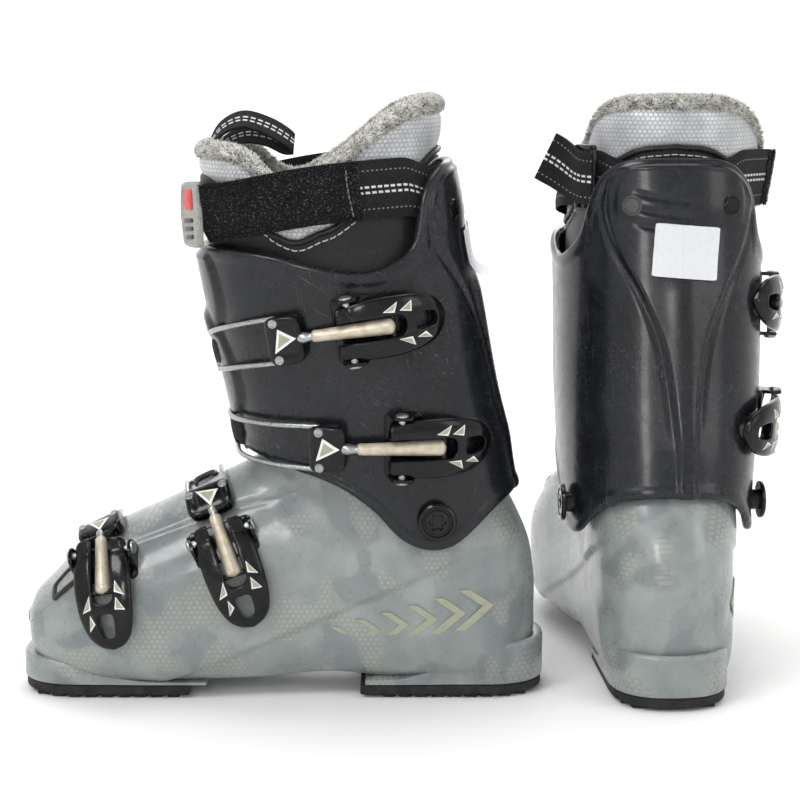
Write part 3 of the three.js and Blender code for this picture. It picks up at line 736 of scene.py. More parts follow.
def woven_strap():
    """Black webbing with two rows of white dashes along its middle and dotted rows near its edges."""
    f = Finish("woven_strap", Sheen_Weight=0.03, Roughness=0.85, Specular_Level=0.15)
    place = f.attribute("surf")
    along, across = f.part(place, "X"), f.part(place, "Y")

    def dashes(row, half_height, period, share):
        """Two rows of dashes, as far from the middle line on either side."""
        off_row = f.maths("SUBTRACT", f.maths("ABSOLUTE", across), row)
        near = f.band(f.maths("ABSOLUTE", off_row), half_height, half_height * 0.6)
        phase = f.maths("FRACT", f.maths("DIVIDE", along, period))
        return f.times(near, f.maths("LESS_THAN", phase, share))

    bright = dashes(1.5, 0.8, 4.2, 0.68)
    rib = f.maths("SINE", f.times(f.maths("ADD", along, f.times(across, 0.6)), 3.2))
    weave = f.times(rib, f.maths("SINE", f.times(across, 4.2)))
    base = f.mix(f.span(weave, -1, 1), (0.004, 0.004, 0.0045), (0.024, 0.024, 0.026))
    base = f.mix(f.times(dashes(10.5, 0.45, 3.0, 0.4), 0.75), base, (0.34, 0.34, 0.34))
    f.colour(f.mix(bright, base, (0.68, 0.68, 0.67)))
    f.relief(f.maths("ADD", weave, bright), 0.3, 0.9)
    return f.material


def loop_pile():
    """The strap's fuzzy face: black with pale lint in it."""
    f = Finish("loop_pile", Sheen_Weight=0.02, Sheen_Roughness=0.7, Roughness=0.95, Specular_Level=0.1)
    lint = f.band(f.noise(0.9, 4, 0.8), 0.56, 0.64)
    base = f.tones(f.noise(2.2, 4), (0.003, 0.003, 0.0035), (0.012, 0.012, 0.0135))
    f.colour(f.mix(f.times(lint, 0.7), base, (0.24, 0.24, 0.255)))
    f.relief(f.noise(2.6, 5, 0.75), 0.9)
    return f.material


def painted(name, colour, rough=0.4, dirt=0.25):
    """A paint, print or moulded colour with faint stains."""
    f = Finish(name)
    stain = f.times(f.band(f.noise(0.4, 4), 0.45, 0.7), dirt)
    f.colour(f.mix(stain, colour, tuple(c * 0.45 for c in colour)))
    f.rough(f.noise(0.9, 3), rough - 0.08, rough + 0.1)
    f.relief(f.noise(0.7, 3), 0.08, 0.5)
    return f.material


FROSTED = frosted_shell()
SMOKE = smoke_shell()
GLOSS = gloss_black()
RUBBER = matt_black("sole_rubber", (0.010, 0.010, 0.0105), 0.72, 1.3, 0.35)
BOARD = matt_black("board_plastic", (0.03, 0.03, 0.033), 0.6, 0.8, 0.2)
PIPING = matt_black("piping", (0.008, 0.008, 0.009), 0.35, 1.5, 0.1)
WIRE_METAL = satin_wire()
CHAMPAGNE = champagne()
LINER = liner_fabric()
FUR = plush()
WEBBING = woven_strap()
PILE = loop_pile()
THREAD = painted("thread", (0.55, 0.55, 0.54), 0.6)
DARK_THREAD = painted("dark_thread", (0.16, 0.16, 0.165), 0.6)
WHITE_PRINT = painted("white_print", (0.72, 0.72, 0.69), 0.35)
KHAKI_PRINT = painted("khaki_print", (0.30, 0.31, 0.225), 0.4)
LABEL = painted("blank_label", (0.60, 0.61, 0.64), 0.3, 0.1)
TAB_GREY = painted("tab_grey", (0.30, 0.30, 0.275), 0.45, 0.4)
TAB_RED = painted("tab_red", (0.55, 0.045, 0.03), 0.35, 0.3)
DARK_TRIM = painted("dark_trim", (0.035, 0.035, 0.036), 0.35, 0.3)


# ---- the lower shell ----
def even_angles(rows, count):
    """Angles that space the points of each section evenly round it."""
    fine = np.linspace(0, 2 * math.pi, 1441)
    points = section_point(rows[:, None, :], fine[None, :])
    step = np.linalg.norm(np.diff(points, axis=1), axis=-1)
    length = np.concatenate([np.zeros((len(rows), 1)), np.cumsum(step, axis=1)], axis=1)
    wanted = np.linspace(0, 1, count, endpoint=False)
    return np.array([np.interp(wanted * row[-1], row, fine) for row in length])


def shell_grid(u, count, inset):
    rows = row_at(SHELL_SECTIONS, u)
    rows[:, 6] += 1.9 * smoothstep(u, 2.5, 4.5) * (1 - smoothstep(u, 10, 12))
    angles = even_angles(rows, count)
    points = section_point(rows[:, None, :], angles, inset)
    points[..., 0] -= inset * points[..., 0] / SOLE_LENGTH
    return points, angles


def shell_relief(points, u, angles):
    """The moulded lines of the lower shell, as heights over its plain surface."""
    x, _, z = np.moveaxis(points, -1, 0)
    turn = signed_degrees(angles)
    u = u[:, None] * np.ones_like(turn)
    along = smoothstep(u, 2.4, 3.4) * (1 - smoothstep(u, 15.5, 17))
    flap_edge = 40 + 4 * smoothstep(u, 4, 9)
    flap = smoothstep(turn, flap_edge, flap_edge - 2.6) * smoothstep(turn, -58, -52)
    relief = 1.7 * flap * along
    relief -= 0.5 * bump(turn, flap_edge + 1.5, 3.0) * along
    crease = 13 + 0.4 * (216 - x) + 0.0002 * (216 - x) ** 2
    step = smoothstep(z, crease - 1.3, crease + 1.3) * (1 - smoothstep(z, crease + 6, crease + 34))
    step *= (1 - smoothstep(x, 215, 245)) * smoothstep(x, 20, 60)
    for side, height in ((1, 1.9), (-1, 1.6)):
        relief += height * step * smoothstep(side * turn, 60, 70)
    relief += 0.8 * bump(z, 62, 16) * smoothstep(60, x, x + 25)
    return relief


def end_dome(ring, centre, reach, steps=6):
    """Rings that close a loft's first ring with a shallow dome, from its middle outwards."""
    rings = []
    for k in range(steps):
        turn = math.pi / 2 * (1 - k / steps)
        rings.append(centre + (ring - centre) * max(0.03, math.cos(turn)) + np.array(reach) * math.sin(turn))
    return rings


def rolled_edge(outer, inner, ahead, steps=7):
    """Rings that carry a wall round its edge, from its outer to its inner face."""
    middle, half = (outer + inner) / 2, (outer - inner) / 2
    radius = np.linalg.norm(half, axis=-1, keepdims=True)
    turns = np.linspace(0, math.pi, steps + 2)[1:-1]
    return [middle + half * math.cos(t) + ahead * radius * math.sin(t) for t in turns]


def off_the_edge(rim, inner_rim, hint):
    """The way off a wall's edge: square to the rim and to the wall, on the side of hint."""
    ahead = unit(np.cross(np.roll(rim, -1, 0) - np.roll(rim, 1, 0), rim - inner_rim))
    return ahead * np.sign((ahead * hint).sum(1))[:, None]


def round_ended(x0, x1, half_width, steps=22):
    """The outline of a sole plate: straight across at x0 and round at x1."""
    way = math.copysign(1, x1 - x0)
    reach = 38
    angles = np.linspace(-math.pi / 2, math.pi / 2, steps)
    along = reach * np.abs(np.cos(angles)) ** (2 / 2.4)
    across = half_width * signed_power(np.sin(angles), 2 / 2.4)
    ends = np.linspace(-half_width, half_width, 9)
    outline = [(x1 - way * (reach - a), b) for a, b in zip(along, across)]
    sides = np.linspace(outline[-1][0], x0, 14)[1:-1]
    outline += [(x, half_width) for x in sides]
    outline += [(x0, y) for y in ends[::-1]]
    outline += [(x, -half_width) for x in sides[::-1]]
    return np.array(outline)


def wedge(shape, bottom, tall_x, low_x):
    """A plate whose top slopes down from tall_x to low_x."""
    points, faces = shape
    share = smoothstep(points[:, 0], low_x, tall_x)
    points[:, 2] = bottom + (points[:, 2] - bottom) * (0.12 + 0.88 * share)
    return points, faces


def lug(x0, x1, half_width, top, tall_x, low_x):
    bottom = SOLE_THICKNESS + 0.4
    levels = [(bottom, 0.8), (bottom + 0.8, 0), (top - 2.2, 0), (top - 0.7, 0.6), (top, 2)]
    return wedge(plate(round_ended(x0, x1, half_width), levels), bottom, tall_x, low_x)


def lower_shell():
    count = 220
    rim, inside_end = SHELL_TOP - 0.12, 0.15
    u = np.concatenate([np.linspace(0, 1, 14)[:-1], np.linspace(1, rim, 225)])
    outer, angles = shell_grid(u, count, 0)
    outer = outer + outward_normals(outer) * shell_relief(outer, u, angles)[..., None]
    inner, _ = shell_grid(np.linspace(rim, inside_end, 60), count, SHELL_WALL)
    edge = rolled_edge(outer[-1], inner[0], unit(outer[-1] - outer[-3]))
    skin = loft([*end_dome(outer[0], outer[0].mean(0), (2.2, 0, 0)), *outer, *edge, *inner])
    cavity = loft(shell_grid(np.linspace(SHELL_TOP + 0.3, inside_end, 60), count, SHELL_WALL)[0])
    toe = lug(196, SOLE_LENGTH, SOLE_HALF_WIDTH + 0.5, TOE_LUG_TOP, 296, 226)
    heel = lug(104, 0, SOLE_HALF_WIDTH, HEEL_LUG_TOP, 14, 92)
    return boolean("UNION", skin, boolean("DIFFERENCE", boolean("UNION", toe, heel), cavity))


def soles():
    """The rubber soles: plates with their treads, by node name."""
    levels = [(2.2, 1.2), (3.2, 0), (SOLE_THICKNESS - 0.6, 0), (SOLE_THICKNESS, 0.5)]
    made = {}
    for name, x0, x1, half_width, tread_x0, tread_x1 in (
        ("toe_sole", 206, SOLE_LENGTH - 1, SOLE_HALF_WIDTH - 0.5, 212, 298),
        ("heel_sole", 107, 1, SOLE_HALF_WIDTH - 1, 94, 8),
    ):
        body = plate(round_ended(x0, x1, half_width), levels)
        made[name] = merge(body, *treads(tread_x0, tread_x1, half_width))
    return made


def treads(x0, x1, half_width):
    """Blocks under a sole: bars across its middle, shorter towards its round end."""
    way = math.copysign(1, x1 - x0)
    blocks = []
    pitch, length = 9.5, 7.2
    for k in range(int(abs(x1 - x0) / pitch)):
        x = x0 + way * (k * pitch + length / 2)
        left = max(0.0, abs(x1 + way * 5 - x))
        reach = half_width * (1 - max(0.0, 1 - left / 38) ** 2.4) ** (1 / 2.4) - 2.6
        if reach < 9:
            continue
        for y0, y1 in ((-reach, -3), (3, reach)):
            block = rounded_rectangle(-length / 2, length / 2, (y1 - y0) / 2, 1.0, 2)
            shape = plate(block, [(0, 0.5), (0.5, 0), (2.8, 0)])
            blocks.append(moved(shape, x, (y0 + y1) / 2))
    return blocks


# ---- the cuff ----
def column_rows(point_at, edge, angles, low, high, offset):
    """For each angle, the row at which a surface of level sections meets an edge, moved off it by offset."""
    curve = spline(edge, 600)

    def below_edge(rows):
        point = point_at(rows, angles)
        return point[:, 2] < np.interp(point[:, 0], curve[:, 0], curve[:, 1]) + offset

    return bisected(below_edge, np.full(len(angles), float(low)), np.full(len(angles), float(high)), 26)


def softened(values, passes=3):
    """Values round a ring, each averaged with its neighbours."""
    for _ in range(passes):
        values = (np.roll(values, 1) + 2 * values + np.roll(values, -1)) / 4
    return values


SPINE_Y = 6.8
ROW_HEIGHT = 30
PANEL = [(150, 5), (161, 6), (185, 8.5), (210, 13.5), (235, 24), (258, 36), (275, 41.5), (290, 42), (302, 37), (309, 27)]


def cuff_relief(points, angles):
    """The moulded lines of the cuff, as heights over its plain surface."""
    _, y, z = np.moveaxis(points, -1, 0)
    turn = signed_degrees(angles) + 0 * z
    off_spine = y - SPINE_Y
    panel = spline(PANEL, 200)
    outside = np.abs(off_spine) - np.interp(z, panel[:, 0], panel[:, 1])
    back = 1.5 * smoothstep(outside, 1.6, -1.6)
    back -= 0.9 * bump(outside, 2.2, 3.2) * smoothstep(z, 150, 170)
    back += 0.8 * smoothstep(outside + 6, 1.2, -1.2) * smoothstep(z, 268, 285)
    back += 2.2 * np.exp(-((off_spine / 9) ** 2)) * (1 - smoothstep(z, 232, 262)) * smoothstep(z, 128, 160)
    across = (off_spine + 26) / 26
    for height in (290.5, 282, 273.5):
        sag = height - 7 * across + 2.2 * across**2
        back -= 1.2 * bump(z, sag, 2.8) * smoothstep(across, -0.15, 0.25) * (1 - smoothstep(across, 0.9, 1.4))
    back -= 0.5 * bump(off_spine, 0.4, 0.9)
    relief = back * smoothstep(np.abs(turn), 118, 135)
    for centre_z, height in ((245, 40), (193, 36)):
        pad_z = (z - centre_z) / height
        pad_turn = (turn - 3) / (30 - 8 * pad_z)
        relief += 3.0 * smoothstep(1 - np.sqrt(pad_z**2 + pad_turn**2), 0.0, 0.22)
    flap = smoothstep(turn, -52, -49) * smoothstep(turn, 30, -20)
    return relief + 1.6 * flap * smoothstep(np.abs(turn), 120, 90)


def level_share(rim):
    """How level each stretch of a closed rim is, from 0.2 where it is steep to 1."""
    way = unit(np.roll(rim, -1, 0) - np.roll(rim, 1, 0))
    return softened(np.sqrt(np.maximum(0.04, 1 - way[:, 2] ** 2)))


def cuff():
    count = 340
    angles = even_angles(row_at(CUFF_SECTIONS, np.array([4.2])), count)[0]
    roll = CUFF_WALL / 2
    top = softened(column_rows(cuff_point, CUFF_TOP_EDGE, angles, 2, CUFF_TOP, -roll), 5)
    bottom = softened(column_rows(cuff_point, CUFF_BOTTOM_EDGE, angles, -0.2, 4, roll), 2)
    share = np.linspace(0, 1, 150)[:, None]
    outer = cuff_point(bottom + (top - bottom) * share, angles[None, :])
    near_top = (1 - share) * (top - bottom) * ROW_HEIGHT * level_share(outer[-1])
    near_bottom = share * (top - bottom) * ROW_HEIGHT * level_share(outer[0])
    lip = 0.9 * smoothstep(near_top, 7, 2) + 0.7 * smoothstep(near_bottom, 6, 2)
    relief = cuff_relief(outer, angles[None, :]) * smoothstep(near_top, 0, 5)
    outer = outer + outward_normals(outer) * (relief + lip)[..., None]
    inner_share = np.linspace(1, 0, 34)[:, None]
    inner = cuff_point(bottom + (top - bottom) * inner_share, angles[None, :], CUFF_WALL)
    top_edge = rolled_edge(outer[-1], inner[0], off_the_edge(outer[-1], inner[0], outer[-1] - outer[-3]))
    low_edge = rolled_edge(inner[-1], outer[0], off_the_edge(outer[0], inner[-1], outer[0] - outer[2]))
    skin = loft([*outer, *top_edge, *inner, *low_edge], cyclic=True)
    bore = revolve([(6.3, -30), (6.3, 30)], 24)
    return boolean("DIFFERENCE", skin, *[in_frame(bore, pivot_frame(side, 52)) for side in (-1, 1)])


def pivot_frame(side, y):
    return (PIVOT[0], side * y, PIVOT[1]), (1, 0, 0), (0, 0, 1), (0, side, 0)


def pivot_rivet(side):
    """A broad black rivet with a star recess, and its shank through the wall."""
    profile = [(6, -17.5), (6, 0.2), (10.6, 0.2), (11, 0.9), (10.6, 2.4), (9.6, 3.0), (8.6, 3.0), (8.1, 2.2)]
    profile += [(7.2, 2.2), (6.8, 2.7), (5.4, 2.7), (-4.2, 2.5), (-3.6, 1.2), (-1.0, 1.1)]
    return in_frame(revolve(profile, 48, 0.22), pivot_frame(side, 57.1))


def surface_frame(y, z, height):
    """A frame on the cuff's back: its point, the way round it, the way up and the outward normal."""
    u, angle = cuff_row_at_height(z), cuff_angle_at(y, z)
    point = cuff_point(u, angle)
    around = unit(cuff_point(u, angle + 0.03) - cuff_point(u, angle - 0.03))
    up = unit(cuff_point(u + 0.05, angle) - cuff_point(u - 0.05, angle))
    normal = facing(unit(np.cross(around, up)), point - (115.0, 0.0, point[2]))
    return point + normal * height, around, unit(np.cross(normal, around)), normal


def cuff_row_at_height(z):
    return float(np.interp(z, CUFF_SECTIONS[:, 1], np.arange(len(CUFF_SECTIONS))))


def cuff_angle_at(y, z):
    """The angle at which the cuff, at a height, has that y on its back."""
    angles = np.linspace(math.pi / 2, 3 * math.pi / 2, 2001)
    points = cuff_point(np.full(len(angles), cuff_row_at_height(z)), angles)
    return float(angles[np.argmin(np.abs(points[:, 1] - y))])


def strap_rivets():
    """The two rivets that hold the strap to the cuff: the inner one, then the outer one."""
    profile = [(5.9, -3.0), (5.9, 0.9), (5.5, 1.3), (4.9, 1.3), (4.7, 1.0), (4.3, 1.0), (4.0, 1.4), (0.6, 1.55)]
    return [in_frame(revolve(profile, 36), surface_frame(SPINE_Y + y, 283, 1.6)) for y in (-28, 28)]


# How far the label's corner peels off, which differs between the boots.
LABEL_CURL = {"left": 9, "right": 0.6}


def cuff_label(curl):
    """A blank sticker on the spine; curl lifts its lower edge."""
    width, height, tilt, count = 36, 31, math.radians(5), 25
    top, normals = [], []
    for s in np.linspace(-1, 1, count):
        for t in np.linspace(-1, 1, count):
            corner = max(0.0, abs(s) - 0.86) ** 2 * 9 * max(0.0, abs(t) - 0.8)
            across, up = s * width / 2, t * height / 2 * (1 - corner)
            y = SPINE_Y + 1 + across * math.cos(tilt) + up * math.sin(tilt)
            z = 256.5 + up * math.cos(tilt) - across * math.sin(tilt)
            point, _, _, normal = surface_frame(y, z, 0)
            top.append(point + normal * (3.35 + curl * max(0.0, -t - 0.1) ** 2))
            normals.append(normal)
    top, normals = (np.reshape(values, (count, count, 3)) for values in (top, normals))
    return plate_from_grid(top, -0.3 * normals)


# ---- the liner ----
LEG_CENTRE = np.array([118.0, 4.0, 0.0])
LEVEL = np.array([1.0, 1.0, 0.0])
SIDE_SEAM = [(10, 303), (30, 301), (50, 292), (63, 279), (70, 271), (79, 267), (90, 273), (103, 284), (120, 296)]
SIDE_SEAM += [(142, 306), (160, 314), (180, 316.5)]
SEAM = [(-turn, height) for turn, height in SIDE_SEAM[::-1]] + SIDE_SEAM


def seam_height(turn):
    curve = spline(SEAM, 500)
    return np.interp((turn + 180) % 360 - 180, curve[:, 0], curve[:, 1])


def liner_rows(z, angle):
    """The rows at which the liner has these heights."""
    low, high = np.full(np.shape(z), -0.5), np.full(np.shape(z), LINER_TOP + 0.5)
    return bisected(lambda rows: liner_point(rows, angle)[..., 2] < z, low, high, 22)


def liner_leg():
    """The liner's leg and collar as one padded wall, its point values, and its outer and inner grids."""
    count = 240
    angles = even_angles(row_at(LINER_SECTIONS, np.array([3.0])), count)[0]
    turn = signed_degrees(angles)
    top = softened(column_rows(liner_point, LINER_TOP_EDGE, angles, 1, LINER_TOP + 0.4, -2), 4)
    bottom = np.full(count, -0.25)
    share = np.linspace(0, 1, 110)[:, None]
    outer = liner_point(bottom + (top - bottom) * share, angles[None, :])
    seam = outer[..., 2] - seam_height(turn)
    puff = 1.3 * smoothstep(seam, 0, 9) * smoothstep((1 - share) * (top - bottom) * 28, 0, 10)
    outer = outer + outward_normals(outer) * (puff - 1.2 * bump(seam, 0, 2.2) - 0.4)[..., None]
    inner_share = np.linspace(1, 0, 40)[:, None]
    inner = liner_point(bottom + (top - bottom) * inner_share, angles[None, :], LINER_WALL + 1)
    ripple = 0.24 * np.sin(inner[..., 2] / 7.0 + 2.0 * np.cos(3 * angles))
    inner = inner + outward_normals(inner) * ripple[..., None]
    top_edge = rolled_edge(outer[-1], inner[0], unit(outer[-1] - outer[-3]))
    low_edge = rolled_edge(inner[-1], outer[0], unit(outer[0] - outer[2]), 3)
    rings = np.array([*outer, *top_edge, *inner, *low_edge])
    inside = np.arange(len(rings))[:, None] >= len(outer)
    around = np.cumsum(np.linalg.norm(np.diff(outer[60], axis=0, append=outer[60][:1]), axis=1))
    surf = np.stack(np.broadcast_arrays(around, rings[..., 2], inside), -1)
    seam = np.where(inside, -20, rings[..., 2] - seam_height(turn))
    values = {"seam": seam.ravel(), "surf": surf.reshape(-1, 3)}
    return loft(rings, cyclic=True), values, outer, inner


def liner_foot():
    """The liner's foot, inside the shell: a padded sock, open at the ankle."""
    count = 96
    u = np.linspace(0.6, SHELL_TOP - 1.3, 90)
    outer, _ = shell_grid(u, count, SHELL_WALL + 1.2)
    outer[..., 2] = np.maximum(outer[..., 2], 22)
    inner, _ = shell_grid(u[::-1], count, SHELL_WALL + 1.2 + LINER_WALL)
    inner[..., 2] = np.maximum(inner[..., 2], 27)
    edge = rolled_edge(outer[-1], inner[0], unit(outer[-1] - outer[-3]), 4)
    return loft([*outer, *edge, *inner])


def tufts(roots, normals, length, width, lean):
    """Fur: one slim closed spike, of four points, for each root."""
    count = len(roots)
    side = unit(np.cross(normals, unit(RANDOM.normal(size=(count, 3)))))
    other = np.cross(normals, side)
    corners = []
    for angle in (0, 2 * math.pi / 3, 4 * math.pi / 3):
        corners.append(roots + (side * math.cos(angle) + other * math.sin(angle)) * width / 2)
    points = np.stack([*corners, roots + normals * length[:, None] + lean], 1).reshape(-1, 3)
    first = np.arange(count)[:, None] * 4
    pattern = ((0, 1, 2), (0, 3, 1), (1, 3, 2), (2, 3, 0))
    return points, [tuple(f) for f in np.concatenate([first + np.array(p) for p in pattern]).tolist()]


def fur_edge(outer, inner):
    """A roll of fur along the liner's top edge, with tufts over the edge and down the inside, and their tones; the edge
    tufts' tones hold painted light and shade, lighter on top of the roll and darker down its sides.
    """
    crest = (outer[-1] + inner[0]) / 2 + np.array([0, 0, 1.5])
    out = unit(outer[-1] - inner[0])
    around = np.linspace(0, 2 * math.pi, 18, endpoint=False)[:, None]
    rings = crest[:, None] + out[:, None] * 6.0 * np.cos(around) + UP * 4.6 * np.sin(around)
    wobble = RANDOM.normal(size=rings.shape[:2])
    wobble = (wobble + np.roll(wobble, 1, 0) + np.roll(wobble, -1, 0) + np.roll(wobble, 1, 1)) / 3
    rings += unit(rings - crest[:, None, :]) * np.clip(wobble, -1, 1)[..., None] * 0.4
    roll = loft(rings, cyclic=True)

    count = 21000
    k = RANDOM.integers(0, len(crest), count)
    spot = RANDOM.random(count)[:, None]
    base = crest[k] * (1 - spot) + crest[(k + 1) % len(crest)] * spot
    t = RANDOM.uniform(-0.75, math.pi + 0.75, count)
    c, s = np.cos(t)[:, None], np.sin(t)[:, None]
    normals = unit(out[k] * c * 1.1 + UP * s)
    roots = base + out[k] * 5.7 * c + UP * 4.3 * s
    sweep = unit(crest[(k + 3) % len(crest)] - crest[k]) * RANDOM.normal(0, 0.9, count)[:, None]
    lean = sweep + RANDOM.normal(0, 0.55, (count, 3))
    # Painted light and shade: each edge tuft's random tone is raised on top of the roll and lowered down its sides, as
    # if lit from above.
    edge_tones_and_top_light = RANDOM.random(count) * (0.75 + 0.25 * np.sin(np.clip(t, 0, math.pi)))
    edge = tufts(roots, normals, RANDOM.uniform(1.1, 2.4, count), 1.2, lean)

    count = 9000
    rows = RANDOM.integers(0, 17, count)
    k = RANDOM.integers(0, inner.shape[1], count)
    roots = inner[rows, k] + RANDOM.normal(0, 1.2, (count, 3))
    normals = unit(-out[k] + np.array([0, 0, 0.35]))
    lean = RANDOM.normal(0, 1.0, (count, 3)) + np.array([0, 0, -1.5])
    length = RANDOM.uniform(3, 5, count)
    inside_tones = RANDOM.random(count)
    inside = tufts(roots, normals, length, 2.2, lean)
    tones = [np.full(len(roll[0]), 0.55), np.repeat(edge_tones_and_top_light, 4), np.repeat(inside_tones, 4)]
    return merge(roll, edge, inside), np.concatenate(tones)


def stitches(path, outward, length=3.0, gap=1.6, radius=0.42, height=0.5):
    """A row of thread stitches along a path; outward holds each point's normal."""
    run = run_along(path)
    made = []
    start = gap
    while start + length < run[-1]:
        at = np.linspace(start, start + length, 5)
        points, normals = (np.stack([np.interp(at, run, v[:, k]) for k in range(3)], -1) for v in (path, outward))
        arch = np.array([-0.5, 0.6, 0.9, 0.6, -0.5])[:, None] * height
        made.append(tube(points + unit(normals) * arch, radius, 6))
        start += length + gap
    return merge(*made)


def collar_path(turns, below, proud):
    """A line on the liner's collar, below the seam, with its normals."""
    angles = np.radians(turns)
    rows = liner_rows(seam_height(turns) - below, angles)
    points = liner_point(rows, angles)
    around = liner_point(rows, angles + 0.02) - liner_point(rows, angles - 0.02)
    rise = liner_point(rows + 0.05, angles) - liner_point(rows - 0.05, angles)
    normals = unit(np.cross(around, rise))
    away = (points - LEG_CENTRE) * LEVEL
    normals *= np.sign((normals * away).sum(1))[:, None]
    return points + normals * proud, normals


# ---- the power strap ----
def strap_height(x):
    return 279 + 0.13 * (205 - x) + 5 * bump(x, 128, 76) - 6.5 * smoothstep(x, 82, 64)


def with_slack(points, angles):
    """Points on the liner moved out to where the strap stands off its sides."""
    points[:, 1] += STRAP_SLACK * smoothstep(points[:, 0], 84, 120) * np.sin(angles)
    return points


def strap_ring(angles, stand, lift):
    """Points of the strap's band, stand over the liner and lift above its middle line."""
    z = strap_height(liner_point(np.full(len(angles), 4.4), angles)[:, 0]) + lift
    points = with_slack(liner_point(liner_rows(z, angles), angles, -stand), angles)
    points[:, 2] = z
    return points


def strap_spot(angle, stand):
    return strap_ring(np.array([angle]), stand, 0)[0]


def off_the_leg(points):
    """The level ways from the leg's middle out to points."""
    return unit((points - LEG_CENTRE) * LEVEL)


def taped(rings, run, spread, cyclic=False):
    """A strip of tape from rings, with how far along and across it each point is."""
    along = np.repeat(run, 2 * len(spread))
    across = np.tile(np.concatenate([spread, spread[::-1]]), len(run))
    surf = np.stack([along, across, 0 * across], -1)
    if not cyclic:
        surf = np.vstack([surf, surf[:1], surf[-1:]])
    return loft(rings, cyclic=cyclic), {"surf": surf}


def band(angles, stand, thickness, half_width, cyclic):
    """A strip of webbing round the liner: rings of a flat section with soft edges."""
    lifts = np.linspace(-half_width, half_width, 9)
    soft = 0.45 * thickness * np.abs(lifts / half_width) ** 6
    under = [strap_ring(angles, stand + s * 0.3, lift) for s, lift in zip(soft, lifts)]
    over = [strap_ring(angles, stand + thickness - s, lift) for s, lift in zip(soft, lifts)]
    run = np.cumsum(np.linalg.norm(np.diff(over[4], axis=0, append=over[4][-1:]), axis=1))
    return taped(np.swapaxes(np.array([*under, *over[::-1]]), 0, 1), run, lifts, cyclic)


STRAP_AROUND = np.linspace(0, 2 * math.pi, 260, endpoint=False)
PILE_FROM, PILE_TO = math.radians(24), math.radians(106)


def power_strap():
    return band(STRAP_AROUND, 0.7, 2.4, STRAP_WIDTH / 2, True)


def hook_pile():
    """The fuzzy outer layer of the strap, from the front to the side, with short fibres standing off it."""
    shape, _ = band(np.linspace(PILE_FROM, PILE_TO, 110), 3.1, 1.5, STRAP_WIDTH / 2 - 0.6, False)
    count = 9000
    t = RANDOM.uniform(0.01, 0.99, count)
    lift = RANDOM.uniform(-16, 16, count)
    spots = PILE_FROM + (PILE_TO - PILE_FROM) * t
    z = strap_height(liner_point(np.full(count, 4.4), spots)[:, 0]) + lift
    roots = with_slack(liner_point(liner_rows(z, spots), spots, -4.3), spots)
    normals = off_the_leg(roots)
    edge = np.abs(lift) > 15
    normals[edge] = unit(normals[edge] + np.outer(np.sign(lift[edge]), (0, 0, 1.2)))
    lean = RANDOM.normal(0, 0.35, (count, 3))
    return merge(shape, tufts(roots, normals, RANDOM.uniform(0.6, 1.3, count), 0.5, lean))


def pile_stitches():
    """A line of stitches across the strap, near the back end of the pile."""
    angle = np.array([PILE_TO - math.radians(5)])
    line = np.array([strap_ring(angle, 4.9, lift)[0] for lift in np.linspace(-14.5, 14.5, 30)])
    return stitches(line, off_the_leg(line), 2.2, 1.2, 0.4, 0.5)


def strap_frame(angle, start, end, stand, out):
    """A frame on the strap: x runs from the angle start to end, y up and z out, raised by out."""
    middle = strap_spot(angle, stand)
    around = unit(strap_spot(end, stand) - strap_spot(start, stand))
    normal = facing(unit(np.cross(around, UP)), (middle - LEG_CENTRE) * LEVEL)
    return middle + normal * out, around, facing(np.cross(normal, around), UP), normal


def pull_tab():
    """The strap's moulded end: a plate with a raised rim, an inset panel and three bars."""
    angle = math.radians(27)
    middle, around, up, normal = strap_frame(angle, angle + 0.1, angle - 0.1, 5.2, 0.6)
    place = (middle + around * 11, around, up, normal)
    outline = rounded([(-12, -19), (9, -17.5), (12.5, 2), (9.5, 18), (-12, 18)], 3.5, 72)
    body = plate(outline, [(-1.2, 0.6), (-0.6, 0), (2.0, 0), (2.9, 0.7), (3.1, 1.5), (2.9, 2.3), (2.3, 2.8)])
    red = plate(rounded([(-6, 2), (7, 3.5), (5.5, 14), (-6, 14)], 1.6, 48), [(1.9, 0.3), (2.7, 0), (3.1, 0.5)])
    bars = []
    for k in range(3):
        bar = plate(rounded_rectangle(-6, 6 - k, 1.3, 0.9, 4), [(1.9, 0.2), (2.8, 0), (3.1, 0.4)])
        bars.append(moved(bar, 0.5, -3.5 - 4.6 * k))
    return [in_frame(shape, place) for shape in (body, red, merge(*bars))]


def ribbon(path, widthwise, width, thickness):
    """A strip of tape along a path, and its length; widthwise holds the way of its width at each point."""
    tangent = unit(np.gradient(path, axis=0))
    widthwise = unit(widthwise - tangent * (widthwise * tangent).sum(1)[:, None])
    half = np.cross(tangent, widthwise) * thickness / 2
    spread = np.linspace(-width / 2, width / 2, 5)
    lines = [path + widthwise * s + half for s in spread] + [path + widthwise * s - half for s in spread[::-1]]
    run = run_along(path)
    return *taped(np.swapaxes(np.array(lines), 0, 1), run, spread), run[-1]


LOOP_WIDTH = 15
END_WIDTH = STRAP_WIDTH - 3
PULL_LOOP = [
    (193, 2, 296), (191, 1, 307), (185, 0, 317), (173, -1, 323), (160, -1, 322), (148.5, 0, 317.5),
    (144.5, 1.2, 318), (148, 3, 321.5), (160, 4, 328.5), (174, 4, 332), (186, 4, 326), (192.5, 4, 314), (194.5, 4, 300),
]


def pull_loop():
    """The loop of tape over the tongue."""
    path = spline(PULL_LOOP, 70)
    lean = 0.5 + 0.35 * bump(np.linspace(0, 1, len(path)), 0.5, 0.4)
    return ribbon(path, np.stack([0 * lean, np.ones(len(path)), -lean], -1), LOOP_WIDTH, 1.6)


